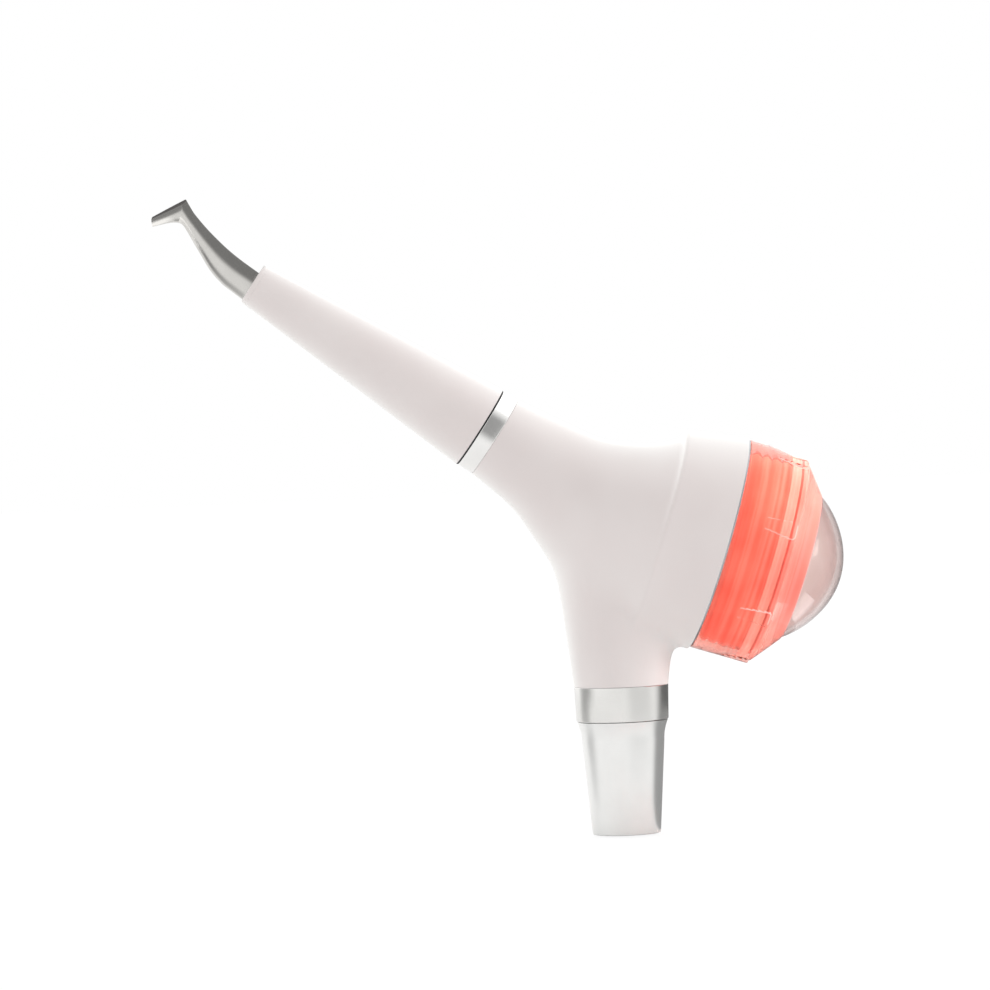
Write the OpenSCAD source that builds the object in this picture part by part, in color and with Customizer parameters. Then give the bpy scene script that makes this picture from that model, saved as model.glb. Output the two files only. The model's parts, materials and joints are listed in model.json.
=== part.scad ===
// Powder-jet polishing handpiece: a swivel coupling below, a bent jet nozzle on a
// tapered nose to the upper left, and a powder chamber with a screw cap to the right.
// Millimetres, +Z up along the coupling. The origin is the centre of the coupling's
// mouth. The three arms meet at the hub, straight above it.

/* [Coupling] */
// Diameter of the socket that the hose end goes into
hose_bore_d = 12.4; // [11.4:0.2:13.2]
// Depth of that socket
hose_bore_depth = 11; // [9:0.5:12.5]
// Outer diameter of the coupling sleeve at its mouth
sleeve_mouth_d = 16.4; // [16.2:0.2:18]
// Outer diameter of the coupling sleeve where its straight taper ends
sleeve_top_d = 19.8; // [19.2:0.1:20.6]
// Outer diameter of the sleeve's flared lip, below the swivel ring
sleeve_lip_d = 21.9; // [21.2:0.1:22.2]
// Length of the coupling sleeve
sleeve_len = 27.2; // [26.2:0.1:31]
// Height of the flare at the sleeve's upper end
flare_h = 4.8; // [3.6:0.1:6]
// Thickness of the seal between hose and connector
gasket_t = 1.2; // [0.8:0.1:1.6]
// Thickness of the four-hole connector disc
connector_t = 3.8; // [3:0.2:4.6]
// Diameter of the swivel plug
plug_d = 12.5; // [12:0.1:13]
// Length of the swivel plug above the coupling's sleeve
plug_len = 21.4; // [19:0.2:21.6]
// Thickness of the plug nut's flange, let into the sleeve's flared end
nut_flange_h = 1.2; // [1:0.1:1.8]
// Diameter of that flange
nut_flange_d = 18.2; // [17.4:0.2:18.6]

/* [Metal rings] */
// Diameter of the swivel ring at its lower edge
ring_low_d = 22.2; // [21.6:0.1:22.6]
// Diameter of the swivel ring at its upper edge
ring_top_d = 22.7; // [22.4:0.1:23.6]
// Height of the swivel ring
ring_h = 8.4; // [7:0.2:10]
// Diameter of the nose ring
nose_ring_d = 20.6; // [20:0.1:21.4]
// Length of the nose ring
nose_ring_len = 4.1; // [3.2:0.1:5.4]

/* [Body] */
// Height of the hub above the body's lower face
stem_len = 41.5; // [40.5:0.5:44]
// Angle of the nose above the horizontal
nose_angle = 34.6; // [32:0.2:37]
// Angle of the powder chamber below the horizontal
chamber_angle = 18.5; // [16:0.5:20]
// Distance from the hub to the nose ring
nose_reach = 34; // [33:0.5:38]
// How much the stem's radius grows for each millimetre towards the hub
stem_slope = 0.110; // [0.09:0.005:0.13]
// How much the nose arm's radius grows for each millimetre towards the hub
nose_slope = 0.122; // [0.1:0.004:0.14]
// How much wider the flared bowl is than the collar where the collar starts
flare_over = 0.25; // [0:0.05:0.5]
// How fast the bowl narrows towards the hub
flare_slope = 0.52; // [0.48:0.01:0.56]
// How far the bowl hangs below the chamber's axis at the collar
flare_drop = 2.45; // [2:0.05:2.7]

/* [Chamber collar] */
// Distance from the hub to the collar's edge
collar_start = 10.9; // [10:0.1:12]
// Distance from the hub to the collar's open end
collar_end = 25.9; // [25:0.1:28.5]
// Radius of the collar at its open end, which the cup and the cap follow
collar_top_r = 26.05; // [24.5:0.05:28]
// How much the collar's radius grows for each millimetre towards its open end
collar_slope = 0.153; // [0.1:0.001:0.17]
// Thickness of the metal trim ring
trim_t = 0.4; // [0.3:0.1:0.8]

/* [Powder cup] */
// Distance from the hub to the cup's bottom
cup_bottom = 4.5; // [4.2:0.1:5.5]
// Step from the cup's threaded neck down to its bowl
bowl_step = 2.6; // [2.4:0.1:3.4]
// Corner radius of the bowl's bottom
bowl_corner = 10.4; // [9.6:0.2:11]
// Gap between the cup's threaded neck and the cap's bore
thread_gap = 0.8; // [0.7:0.1:1.5]
// Wall of the cup
cup_wall = 1.8; // [1.4:0.1:2.2]
// Distance from the trim ring to the cup's rim
cup_rim_rise = 12.5; // [11:0.1:13]

/* [Cap] */
// How far the screw ring's wide band lies inside the collar's edge
cap_inset = 0.1; // [0:0.05:0.3]
// Wall of the screw ring
cap_wall = 2.35; // [2:0.05:2.6]
// Depth of the step from the wide band to the grip band
grip_step = 0.55; // [0.4:0.05:0.8]
// Length of the wide band
wide_band = 8.5; // [6.5:0.1:9.5]
// Length of both bands together
band_len = 14.6; // [14.1:0.1:16]
// Height of the sloping shoulder
shoulder_h = 5.4; // [5:0.1:6.2]
// Radius of the shoulder's opening
shoulder_r = 18.5; // [17.8:0.1:19]
// Number of grip lugs
lug_count = 7; // [5:1:9]
// Angle that a lug covers
lug_angle = 11; // [8:0.5:16]
// Height of the dome above the shoulder
dome_h = 10.3; // [9:0.1:12]
// Wall of the dome
dome_wall = 1.5; // [1.2:0.1:1.9]
// Thickness of the dome's flange
dome_flange = 1.4; // [1.1:0.1:1.8]
// Thickness of the cap's seal
cap_seal_t = 1.0; // [0.8:0.1:1.2]

/* [Nose] */
// Length of the nose sleeve
nose_len = 64.5; // [60:0.5:70]
// Diameter of the nose sleeve at its rear edge
nose_rear_d = 20.8; // [20.2:0.1:21.6]
// Diameter of the nose sleeve at its front face
nose_front_d = 10.3; // [10.1:0.1:11.4]
// Width of the ring at the front of the nose
front_ring_w = 1.2; // [0.8:0.1:2]
// Diameter of the plug that the nose turns on
nose_plug_d = 10; // [9.4:0.1:10.4]
// Length of that plug inside the body
nose_plug_len = 23.8; // [21:0.2:24.4]
// Diameter of the nozzle where it enters the nose
nozzle_d = 7.5; // [7.1:0.1:7.7]
// How far the nozzle sits below the nose's axis
nozzle_drop = 0.85; // [0.5:0.05:0.9]
// Length of the nozzle held inside the nose
nozzle_seat = 10.6; // [8:0.2:14]
// How far the nozzle's tip stands out from the nose
nozzle_reach = 28.6; // [26:0.2:32]
// Wall of the nozzle
nozzle_wall = 0.45; // [0.35:0.05:0.5]
// Turn of the nozzle about the nose's axis, its heel towards the front
nozzle_roll = 18; // [-30:1:30]
// Outer radius of the powder tube
powder_tube_r = 0.8; // [0.7:0.05:0.9]

/* [Inner lines] */
// Outer radius of the lines between the sockets and the manifold
line_r = 1.0; // [0.9:0.05:1.15]
// Bore radius of those lines
line_bore_r = 0.6; // [0.5:0.05:0.7]
// Radius of the manifold
manifold_r = 9; // [8.8:0.1:9.4]
// Length of the manifold behind the hub
manifold_back = 4; // [3.6:0.1:4.4]

/* [Fits] */
// Clearance of pieces that are seated for good
seat = 0.05; // [0.03:0.01:0.08]
// Clearance of pieces that turn or slide on each other
run = 0.09; // [0.06:0.01:0.1]
// Gap between faces that turn past each other
face_gap = 0.1; // [0.08:0.01:0.16]

/* [Hidden] */
$fn = 72;

// Heights along the coupling's axis
counter_step = 1.2;
nut_depth = 2.5;
counter_r = hose_bore_d / 2 + counter_step;
z_connector = hose_bore_depth + gasket_t;
z_plug = z_connector + connector_t;
z_flange = sleeve_len - nut_flange_h;
z_nut = z_flange - nut_depth;
z_ring = sleeve_len + face_gap;
z_body = z_ring + ring_h;
z_hub = z_body + stem_len;
z_plug_top = sleeve_len + plug_len;
plug_r = plug_d / 2;
socket_wall = 2.1;

// The sockets' flanges
flange_t = 1.2;
socket_lip = 1.1;

// Stations along the nose's axis, from the hub
s_ring = nose_reach;
s_sleeve = s_ring + nose_ring_len + face_gap;
s_face = s_sleeve + nose_len;
s_plug = s_sleeve - nose_plug_len;
nose_plug_r = nose_plug_d / 2;
plug_flange = 6;
plug_flange_lip = 0.9;
plug_flange_r = nose_plug_r + run + socket_wall + plug_flange_lip;
plug_stub = 18;
s_nozzle = s_face - nozzle_seat;

// Stations along the chamber's axis, from the hub
t_trim = collar_end + trim_t;
cap_gap = 0.2;
t_cap = t_trim + cap_gap;
t_rim = t_trim + cup_rim_rise;
t_flange = t_rim + cap_seal_t;
t_flange_top = t_flange + dome_flange;
t_step = t_cap + wide_band;
t_shoulder = t_cap + band_len;
t_dome = t_shoulder + shoulder_h;
bowl_straight = 1.5;
neck_flare = 4;
cup_neck_start = cup_bottom + bowl_corner + bowl_straight;
cup_neck_full = cup_neck_start + neck_flare;

// Radii about the chamber's axis
collar_low_r = collar_top_r - collar_slope * (collar_end - collar_start);
flare_r = collar_low_r + flare_over;
cap_r = collar_top_r - cap_inset;
cap_bore_r = cap_r - cap_wall;
cup_neck_r = cap_bore_r - thread_gap;
bowl_r = cup_neck_r - bowl_step;

// Walls between the sockets' blind ends and the body
end_wall = 1.6;
end_gap = 0.3;
s_socket_end = s_plug - end_gap - end_wall;
z_socket_end = z_plug_top + end_gap + end_wall;
socket_r = plug_r + run + socket_wall;
nose_socket_r = nose_plug_r + run + socket_wall;

// Places of the lines, across the axes they run along
air_at = [-2.6, 3.2];
water_at = [-2.6, -3.2];
nose_water_at = [-2.6, -3.2];
line_grip = 1.6;

// O-rings: groove depth and section
oring_groove = 1.05;
groove_w = 1.3;
oring_r = (oring_groove + run) / 2 - seat;
oring_first = 4.5;
oring_pitch = 6;
nose_oring_first = 5;
nose_oring_pitch = 9;
coupling_oring_z = [for (i = [0:2]) z_ring + oring_first + oring_pitch * i];
nose_oring_s = [for (i = [0:1]) s_plug + nose_oring_first + nose_oring_pitch * i];

// Reaches past the whole body
clear_r = 3 * stem_len;

module along_nose() translate([0, 0, z_hub]) rotate([0, nose_angle - 90, 0]) children();
module along_chamber() translate([0, 0, z_hub]) rotate([0, 90 + chamber_angle, 0]) children();

module tube(r_out, r_in, low, high) {
    difference() {
        translate([0, 0, low]) cylinder(r = r_out, h = high - low);
        translate([0, 0, low - 1]) cylinder(r = r_in, h = high - low + 2);
    }
}

module rod(r, low, high) translate([0, 0, low]) cylinder(r = r, h = high - low);

module oring(centre_r, at) translate([0, 0, at]) rotate_extrude() translate([centre_r, 0])
    circle(r = oring_r, $fn = 24);

// ---------------------------------------------------------------- coupling

// A straight taper that flares out to a lip, with the nut's flange let into its end
module coupling_sleeve() {
    edge = 0.4;
    lip_edge = 0.15;
    steps = 8;
    flange_r = nut_flange_d / 2 + seat;
    spread = (sleeve_lip_d - sleeve_top_d) / 2;
    color("silver") rotate_extrude() polygon(concat(
        [[hose_bore_d / 2, edge], [hose_bore_d / 2 + edge, 0],
         [sleeve_mouth_d / 2 - edge, 0], [sleeve_mouth_d / 2, edge]],
        [for (i = [0:steps]) let (u = i / steps)
            [sleeve_top_d / 2 + spread * u * u, sleeve_len - lip_edge - (flare_h - lip_edge) * (1 - u)]],
        [[sleeve_lip_d / 2 - lip_edge, sleeve_len], [flange_r, sleeve_len], [flange_r, z_flange],
         [counter_r, z_flange], [counter_r, hose_bore_depth], [hose_bore_d / 2, hose_bore_depth]]));
}

// Two wide and two narrow ways on one pitch circle
module hose_ways(low, high) {
    pitch_r = 3.6;
    wide_r = 1.2;
    narrow_r = 0.75;
    for (i = [0:3]) rotate([0, 0, 45 + 90 * i]) translate([pitch_r, 0, 0])
        rod(i % 2 == 0 ? wide_r : narrow_r, low - 1, high + 1);
}

module hose_gasket() {
    color("dimgray") difference() {
        rod(counter_r - seat, hose_bore_depth, z_connector);
        hose_ways(hose_bore_depth, z_connector);
    }
}

module hose_connector() {
    color("silver") difference() {
        rod(counter_r - seat, z_connector, z_plug);
        hose_ways(z_connector, z_plug);
    }
}

module coupling_plug() {
    foot_wall = 2.4;
    foot_recess = 1.5;
    way_r = 1.6;
    color("lightgray") difference() {
        union() {
            rod(counter_r - seat, z_plug, z_nut);
            rod(plug_r, z_nut, z_plug_top);
        }
        rod(counter_r - foot_wall, z_plug - 1, z_plug + foot_recess);
        rod(way_r, z_plug, z_plug_top + 1);
        translate([water_at[0], water_at[1], 0]) rod(line_bore_r, z_plug, z_plug_top + 1);
        for (z = coupling_oring_z)
            tube(plug_r + 1, plug_r - oring_groove, z - groove_w / 2, z + groove_w / 2);
    }
}

module neck_nut() {
    color("gray") difference() {
        union() {
            rod(counter_r - seat, z_nut, z_flange);
            rod(nut_flange_d / 2, z_flange, sleeve_len);
        }
        rod(plug_r + seat, z_nut - 1, sleeve_len + 1);
    }
}

module coupling_orings() {
    color("black") for (z = coupling_oring_z)
        oring(plug_r - oring_groove + seat + oring_r, z);
}

// ---------------------------------------------------------------- body shell

// The hub and the unit directions of the arms, as [x, z]
hub = [0, z_hub];
nose_dir = [-cos(nose_angle), sin(nose_angle)];
bowl_dir = [cos(chamber_angle), -sin(chamber_angle)];
bowl_up = [sin(chamber_angle), cos(chamber_angle)];
nose_root_r = nose_ring_d / 2 + nose_slope * nose_reach;
stem_root_r = ring_top_d / 2 + stem_slope * stem_len;
flare_back = 30;
flare_round = 19.6;
// Past the collar's edge the flare dives under the collar
dive_drop = 0.035;
dive_slope = 0.06;
blend_arms = 1.0;
blend_bowl = 1.6;

function soft_min(a, b, k) =
    let (m = min(a, b)) m - k * ln(exp((m - a) / k) + exp((m - b) / k));

// Signed distances to a tapering round arm and to the flared bowl, at [x, z] and y
function arm(q, y, dir, root_r, slope) =
    let (t = max(q * dir, 0), off = q - t * dir) norm([off[0], off[1], y]) - root_r + slope * t;

function bowl(q, y) =
    let (t = q * bowl_dir,
         behind = min(t - collar_start, 0), beyond = max(t - collar_start, 0),
         r = norm([q * bowl_up + flare_drop + dive_drop * beyond, y]),
         wall_r = flare_r + flare_slope * behind - dive_slope * beyond,
         a = flare_round - flare_back - t,
         b = flare_round + (r - wall_r) / norm([1, flare_slope]))
    norm([max(a, 0), max(b, 0)]) + min(max(a, b), 0) - flare_round;

function skin(x, y, z) =
    let (q = [x, z - z_hub])
    soft_min(soft_min(arm(q, y, nose_dir, nose_root_r, nose_slope),
                      arm(q, y, [0, -1], stem_root_r, stem_slope), blend_arms),
             bowl(q, y), blend_bowl);

// Distance from c along the unit vector d to the skin, by halving
function reach(c, d, low, high, steps) =
    steps == 0 ? (low + high) / 2 :
    let (m = (low + high) / 2, p = c + m * d)
    skin(p[0], p[1], p[2]) < 0 ? reach(c, d, m, high, steps - 1) : reach(c, d, low, m, steps - 1);

// Cutting planes that fan from the body's lower face round to its nose face
low_fan = 6;
high_fan = 30;
fan_h = 14.3;
bend_x = 16;
bend_z = 4;
spine = concat(
    [for (i = [0:low_fan - 1]) let (u = i / low_fan)
        [0, z_body + fan_h * u, -chamber_angle * u]],
    [for (i = [0:high_fan]) let (u = i / high_fan, v = 1 - u,
        nose_end = hub + s_ring * nose_dir,
        start = [0, z_body + fan_h], mid = [bend_x, z_hub + bend_z],
        c = v * v * start + 2 * u * v * mid + u * u * nose_end)
        [c[0], c[1], -chamber_angle + (90 - nose_angle + chamber_angle) * u]]);

module skin_solid() {
    sides = 40;
    far = 2 * collar_top_r;
    halvings = 18;
    last = len(spine) - 1;
    points = [for (s = spine) let (c = [s[0], 0, s[1]]) for (j = [0:sides - 1])
        let (a = 360 * j / sides, d = [cos(a) * cos(s[2]), sin(a), cos(a) * sin(s[2])])
        c + reach(c, d, 0, far, halvings) * d];
    walls = [for (i = [0:last - 1]) for (j = [0:sides - 1])
        let (a = i * sides + j, b = i * sides + (j + 1) % sides)
        each [[a, a + sides, b], [b, a + sides, b + sides]]];
    ends = [[for (j = [0:sides - 1]) j], [for (j = [sides - 1:-1:0]) last * sides + j]];
    polyhedron(points, concat(walls, ends));
}

module body_shell() {
    color("linen") difference() {
        union() {
            intersection() {
                skin_solid();
                along_chamber() rod(clear_r, -clear_r, collar_end);
            }
            along_chamber() translate([0, 0, collar_start])
                cylinder(r1 = collar_low_r, r2 = collar_top_r, h = collar_end - collar_start);
        }
        rod(socket_r + seat, z_body - 1, z_socket_end + seat);
        along_nose() rod(nose_socket_r + seat, s_socket_end - seat, s_ring + 1);
        along_chamber() {
            cup_pocket();
            rod(manifold_r + seat, -manifold_back, cup_bottom + 1);
        }
        line_channels(line_r + seat);
    }
}

module cup_pocket() {
    rotate_extrude() cup_outline(seat, t_trim + 1);
}

// The straight ways that the four lines run in
module line_channels(r) {
    for (p = [air_at, water_at]) translate([p[0], p[1], 0])
        rod(r, z_socket_end - 1, z_line_top);
    along_nose() rod(r, 1, s_socket_end + 1);
    along_nose() translate([nose_water_at[0], nose_water_at[1], 0]) rod(r, 1, s_socket_end + 1);
}

// ---------------------------------------------------------------- powder cup

// Half outline of the cup's outside, grown by e, up to the station t_top
module cup_outline(e, t_top) {
    flat_r = bowl_r - bowl_corner;
    arc_t = cup_bottom + bowl_corner;
    steps = 12;
    polygon(concat(
        [[0, cup_bottom - e]],
        [for (i = [0:steps]) let (a = 90 * i / steps)
            [flat_r + (bowl_corner + e) * sin(a), arc_t - (bowl_corner + e) * cos(a)]],
        [[bowl_r + e, cup_neck_start], [cup_neck_r + e, cup_neck_full],
         [cup_neck_r + e, t_top], [0, t_top]]));
}

screw_turns = [100, 180, 260];
screw_pitch_r = 6.8;
screw_r = 1;
screw_head_r = 1.8;
screw_head_h = 1.4;
screw_start = 0.5;
air_pipe_at = [6, 3.2];
pipe_r = 1.2;
pipe_bore_r = 0.8;
pipe_start = 1;
powder_pipe_rise = 13;
air_pipe_rise = 9;

module cup_floor_holes(extra) {
    rod(pipe_r + extra, -manifold_back, cup_bottom + 2 * cup_wall);
    translate([air_pipe_at[0], air_pipe_at[1], 0])
        rod(pipe_r + extra, -manifold_back, cup_bottom + 2 * cup_wall);
}

module chamber_cup() {
    color("whitesmoke") along_chamber() difference() {
        rotate_extrude() cup_outline(0, t_rim);
        rotate_extrude() cup_outline(-cup_wall, t_rim + 1);
        cup_floor_holes(seat);
        for (a = screw_turns) rotate([0, 0, a]) translate([screw_pitch_r, 0, 0])
            rod(screw_r + seat, 0, cup_bottom + 2 * cup_wall);
    }
}

module cup_screws() {
    hex_r = 0.8;
    hex_depth = 0.8;
    floor_t = cup_bottom + cup_wall;
    head_t = floor_t + screw_head_h;
    color("silver") along_chamber() for (a = screw_turns) rotate([0, 0, a])
        translate([screw_pitch_r, 0, 0]) {
            difference() {
                rod(screw_head_r, floor_t, head_t);
                translate([0, 0, head_t - hex_depth]) cylinder(r = hex_r, h = 2, $fn = 6);
            }
            rod(screw_r, screw_start, floor_t);
        }
}

module powder_pipe() {
    color("silver") along_chamber()
        tube(pipe_r, pipe_bore_r, pipe_start, cup_bottom + powder_pipe_rise);
}

module air_pipe() {
    color("silver") along_chamber() translate([air_pipe_at[0], air_pipe_at[1], 0])
        tube(pipe_r, pipe_bore_r, pipe_start, cup_bottom + air_pipe_rise);
}

// Rubber sleeve that keeps powder out of the air pipe
module air_valve() {
    top = cup_bottom + air_pipe_rise;
    wall = 0.8;
    grip = 3.5;
    lid = 1;
    tip_r = 0.7;
    tip_h = 1.6;
    color("dimgray") along_chamber() translate([air_pipe_at[0], air_pipe_at[1], 0])
        difference() {
            union() {
                rod(pipe_r + wall, top - grip, top + lid);
                translate([0, 0, top + lid]) cylinder(r1 = pipe_r + wall, r2 = tip_r, h = tip_h);
            }
            rod(pipe_r + seat, top - grip - 1, top);
        }
}

module pipe_nuts() {
    nut_r = 2.2;
    nut_h = 2;
    low = cup_bottom + cup_wall;
    color("silver") along_chamber() for (p = [[0, 0], air_pipe_at]) translate([p[0], p[1], 0])
        difference() {
            translate([0, 0, low]) cylinder(r = nut_r, h = nut_h, $fn = 6);
            rod(pipe_r + seat, low - 1, low + nut_h + 1);
        }
}

module trim_ring() {
    color("silver") along_chamber() tube(collar_top_r, cup_neck_r + seat, collar_end, t_trim);
}

// ---------------------------------------------------------------- sockets and manifold

module coupling_ring() {
    edge = 0.3;
    color("silver") rotate_extrude() polygon([
        [socket_r + seat, z_ring + flange_t], [socket_r + socket_lip + seat, z_ring + flange_t],
        [socket_r + socket_lip + seat, z_ring], [ring_low_d / 2 - edge, z_ring],
        [ring_low_d / 2, z_ring + edge], [ring_top_d / 2, z_body - edge],
        [ring_top_d / 2 - edge, z_body], [socket_r + seat, z_body]]);
}

module coupling_socket() {
    color("darkgray") difference() {
        union() {
            rod(socket_r, z_ring, z_socket_end);
            rod(socket_r + socket_lip, z_ring, z_ring + flange_t);
        }
        rod(plug_r + run, z_ring - 1, z_socket_end - end_wall);
        translate([air_at[0], air_at[1], 0]) line_port(z_socket_end - end_wall, 1);
        translate([water_at[0], water_at[1], 0]) line_port(z_socket_end - end_wall, 1);
    }
}

// A stepped port through a socket's end wall, with a line seated in its outer half
module line_port(low, way) {
    rod(line_bore_r, low - 1, low + end_wall + 1);
    rod(line_r + seat, low + end_wall / 2, low + end_wall + 1);
}

module nose_ring() {
    edge = 0.25;
    s_top = s_ring + nose_ring_len;
    color("silver") along_nose() rotate_extrude() polygon([
        [nose_socket_r + seat, s_ring], [nose_ring_d / 2 - edge, s_ring],
        [nose_ring_d / 2, s_ring + edge], [nose_ring_d / 2, s_top - edge],
        [nose_ring_d / 2 - edge, s_top], [nose_socket_r + socket_lip + seat, s_top],
        [nose_socket_r + socket_lip + seat, s_top - flange_t], [nose_socket_r + seat, s_top - flange_t]]);
}

module nose_socket() {
    s_top = s_ring + nose_ring_len;
    color("darkgray") along_nose() difference() {
        union() {
            rod(nose_socket_r, s_socket_end, s_top);
            rod(nose_socket_r + socket_lip, s_top - flange_t, s_top);
        }
        rod(nose_plug_r + run, s_socket_end + end_wall, s_top + 1);
        rod(line_bore_r, s_socket_end - 1, s_top);
        rod(line_r + seat, s_socket_end - 1, s_socket_end + end_wall / 2);
        translate([nose_water_at[0], nose_water_at[1], 0]) {
            rod(line_bore_r, s_socket_end - 1, s_top);
            rod(line_r + seat, s_socket_end - 1, s_socket_end + end_wall / 2);
        }
    }
}

// Where the lines end inside the manifold
line_depth = (sqrt(pow(manifold_r, 2) - pow(air_at[1], 2)) + air_at[0] * sin(chamber_angle))
    / cos(chamber_angle);
z_line_top = z_hub - line_depth + line_grip;
s_line_low = manifold_back / cos(nose_angle - chamber_angle) - line_grip;

module manifold_block() {
    way_end = 1.4;
    color("lightgray") difference() {
        along_chamber() rod(manifold_r, -manifold_back, cup_bottom);
        along_chamber() cup_floor_holes(seat);
        along_chamber() for (a = screw_turns) rotate([0, 0, a])
            translate([screw_pitch_r, 0, 0]) rod(screw_r + seat, 0, cup_bottom + 1);
        for (p = [air_at, water_at]) translate([p[0], p[1], 0]) {
            rod(line_r + seat, z_hub - 2 * manifold_r, z_line_top);
            rod(line_bore_r, z_hub - 2 * manifold_r, z_hub - way_end);
        }
        along_nose() {
            rod(line_r + seat, s_line_low, 2 * manifold_r);
            rod(line_bore_r, 0, 2 * manifold_r);
            translate([nose_water_at[0], nose_water_at[1], 0]) {
                rod(line_r + seat, s_line_low, 2 * manifold_r);
                rod(line_bore_r, 1, 2 * manifold_r);
            }
        }
    }
}

module air_line() {
    color("silver") translate([air_at[0], air_at[1], 0])
        tube(line_r, line_bore_r, z_socket_end - end_wall / 2, z_line_top);
}

module water_line() {
    color("silver") translate([water_at[0], water_at[1], 0])
        tube(line_r, line_bore_r, z_socket_end - end_wall / 2, z_line_top);
}

module powder_line() {
    color("silver") along_nose() tube(line_r, line_bore_r, s_line_low, s_socket_end + end_wall / 2);
}

module nose_water_line() {
    color("silver") along_nose() translate([nose_water_at[0], nose_water_at[1], 0])
        tube(line_r, line_bore_r, s_line_low, s_socket_end + end_wall / 2);
}

// ---------------------------------------------------------------- nose

nose_bore_r = 3.4;
nozzle_r = nozzle_d / 2;
function sleeve_r(s) = nose_rear_d / 2
    + (nose_front_d - nose_rear_d) / 2 * (s - s_sleeve) / nose_len;

module nose_orings() {
    color("black") along_nose() for (s = nose_oring_s)
        oring(nose_plug_r - oring_groove + seat + oring_r, s);
}

module nose_plug() {
    color("lightgray") along_nose() difference() {
        union() {
            rod(nose_plug_r, s_plug, s_sleeve);
            rod(plug_flange_r, s_sleeve, s_sleeve + plug_flange);
            rod(nose_bore_r, s_sleeve, s_sleeve + plug_stub);
        }
        rod(powder_tube_r + seat, s_plug - 1, s_nozzle);
        translate([nose_water_at[0], nose_water_at[1], 0])
            rod(line_bore_r, s_plug - 1, s_sleeve + 2);
        for (s = nose_oring_s)
            tube(nose_plug_r + 1, nose_plug_r - oring_groove, s - groove_w / 2, s + groove_w / 2);
    }
}

module nose_sleeve() {
    edge = 0.25;
    s_front = s_face - front_ring_w;
    color("linen") along_nose() difference() {
        rotate_extrude() polygon([
            [0, s_sleeve], [nose_rear_d / 2 - edge, s_sleeve], [nose_rear_d / 2, s_sleeve + edge],
            [sleeve_r(s_front), s_front], [0, s_front]]);
        rod(plug_flange_r + seat, s_sleeve - 1, s_sleeve + plug_flange);
        rod(nose_bore_r + seat, s_sleeve, s_nozzle);
        nozzle_way();
    }
}

// The off-centre bore at the nose's front that the nozzle is held in
module nozzle_way() {
    rotate([0, 0, nozzle_turn]) translate([-nozzle_drop, 0, 0])
        rod(nozzle_r + seat, s_nozzle, s_face + 1);
}

module front_ring() {
    s_front = s_face - front_ring_w;
    edge = 0.2;
    color("linen") along_nose() difference() {
        rotate_extrude() polygon([
            [0, s_front], [sleeve_r(s_front) - 0.1, s_front], [sleeve_r(s_front + edge), s_front + edge],
            [nose_front_d / 2 + 0.05, s_face - edge], [nose_front_d / 2 - edge, s_face], [0, s_face]]);
        nozzle_way();
    }
}

// ---------------------------------------------------------------- nozzle

// The nozzle's inner and outer edge in its own plane, as distance along the nose from
// its front face and height above the nose's axis. The two lists pair up.
inner_edge = [[0, -4.6], [5.5, -4.1], [10.1, -2.8], [14.1, -0.75], [17.8, 1.25], [20.3, 2.6],
              [21.5, 3.1], [22.3, 3.1], [23.1, 2.75], [24.4, 1.8], [26, 0.15], [27.3, -1.25]];
outer_edge = [[0, 2.9], [4.3, 3.2], [8.3, 3.65], [11.9, 4.35], [15.9, 5.35], [19.3, 6.45],
              [22.2, 7.55], [24.3, 8.4], [25.3, 6.6], [26.3, 4.75], [27.5, 2.5], [28.6, 0.4]];
// Half the nozzle's width at each pair
half_width = [3.75, 3.7, 3.35, 2.78, 2.26, 2.0, 1.95, 1.95, 1.9, 1.75, 1.45, 1.15];
heel = 7;
nozzle_turn = -nozzle_roll;
// The flat on the nozzle's tip cuts this share off the full round
flat_share = 0.14;
// The lists are drawn for a nozzle of this reach and width
drawn_reach = 28.6;
drawn_d = 7.5;

function spline(a, b, c, d, u) = 0.5 * (2 * b + (c - a) * u + (2 * a - 5 * b + 4 * c - d) * u * u
    + (3 * b - a - 3 * c + d) * u * u * u);

// A point of a list between i and i + 1, with a corner kept at the index "corner"
function between(list, i, u, corner) =
    let (last = len(list) - 1,
         a = (i == 0 || i == corner) ? list[i] : list[i - 1],
         d = (i + 1 == last || i + 1 == corner) ? list[i + 1] : list[i + 2])
    spline(a, list[i], list[i + 1], d, u);

flat_along = outer_edge[11] - outer_edge[heel];
flat_out = [-flat_along[1], flat_along[0]] / norm(flat_along);
flat_at = outer_edge[heel] * flat_out * nozzle_reach / drawn_reach;

// Cross-sections of the nozzle: centre, direction across, half height, half width
function nozzle_section(i, u) =
    let (k = nozzle_reach / drawn_reach,
         low = k * between(inner_edge, i, u, -1), high = k * between(outer_edge, i, u, heel),
         size = norm(high - low), across = (high - low) / size,
         cut = flat_share * min(max((i + u - heel + 1.5) / 1.5, 0), 1),
         a = size / 2 * (1 + cut))
    [low + a * across, across, a, between(half_width, i, u, -1) * nozzle_d / drawn_d];

sections_per_pair = 3;
nozzle_sections = concat(
    [for (i = [0:10]) for (k = [0:sections_per_pair - 1]) nozzle_section(i, k / sections_per_pair)],
    [nozzle_section(10, 1)]);

// Distance from a section's centre to its edge at the angle a, drawn in by the wall w
function section_edge(s, a, w) =
    let (r = 1 / norm([cos(a) / (s[2] - w), sin(a) / (s[3] - w)]),
         lean = (s[1] * flat_out) * cos(a), room = flat_at - w - s[0] * flat_out)
    lean * r > room ? room / lean : r;

function section_ring(s, w, sides) = [for (j = [0:sides - 1])
    let (a = 360 * j / sides, r = section_edge(s, a, w), c = s[0] + r * cos(a) * s[1])
    [c[1], r * sin(a), s_face + c[0]]];

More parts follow.
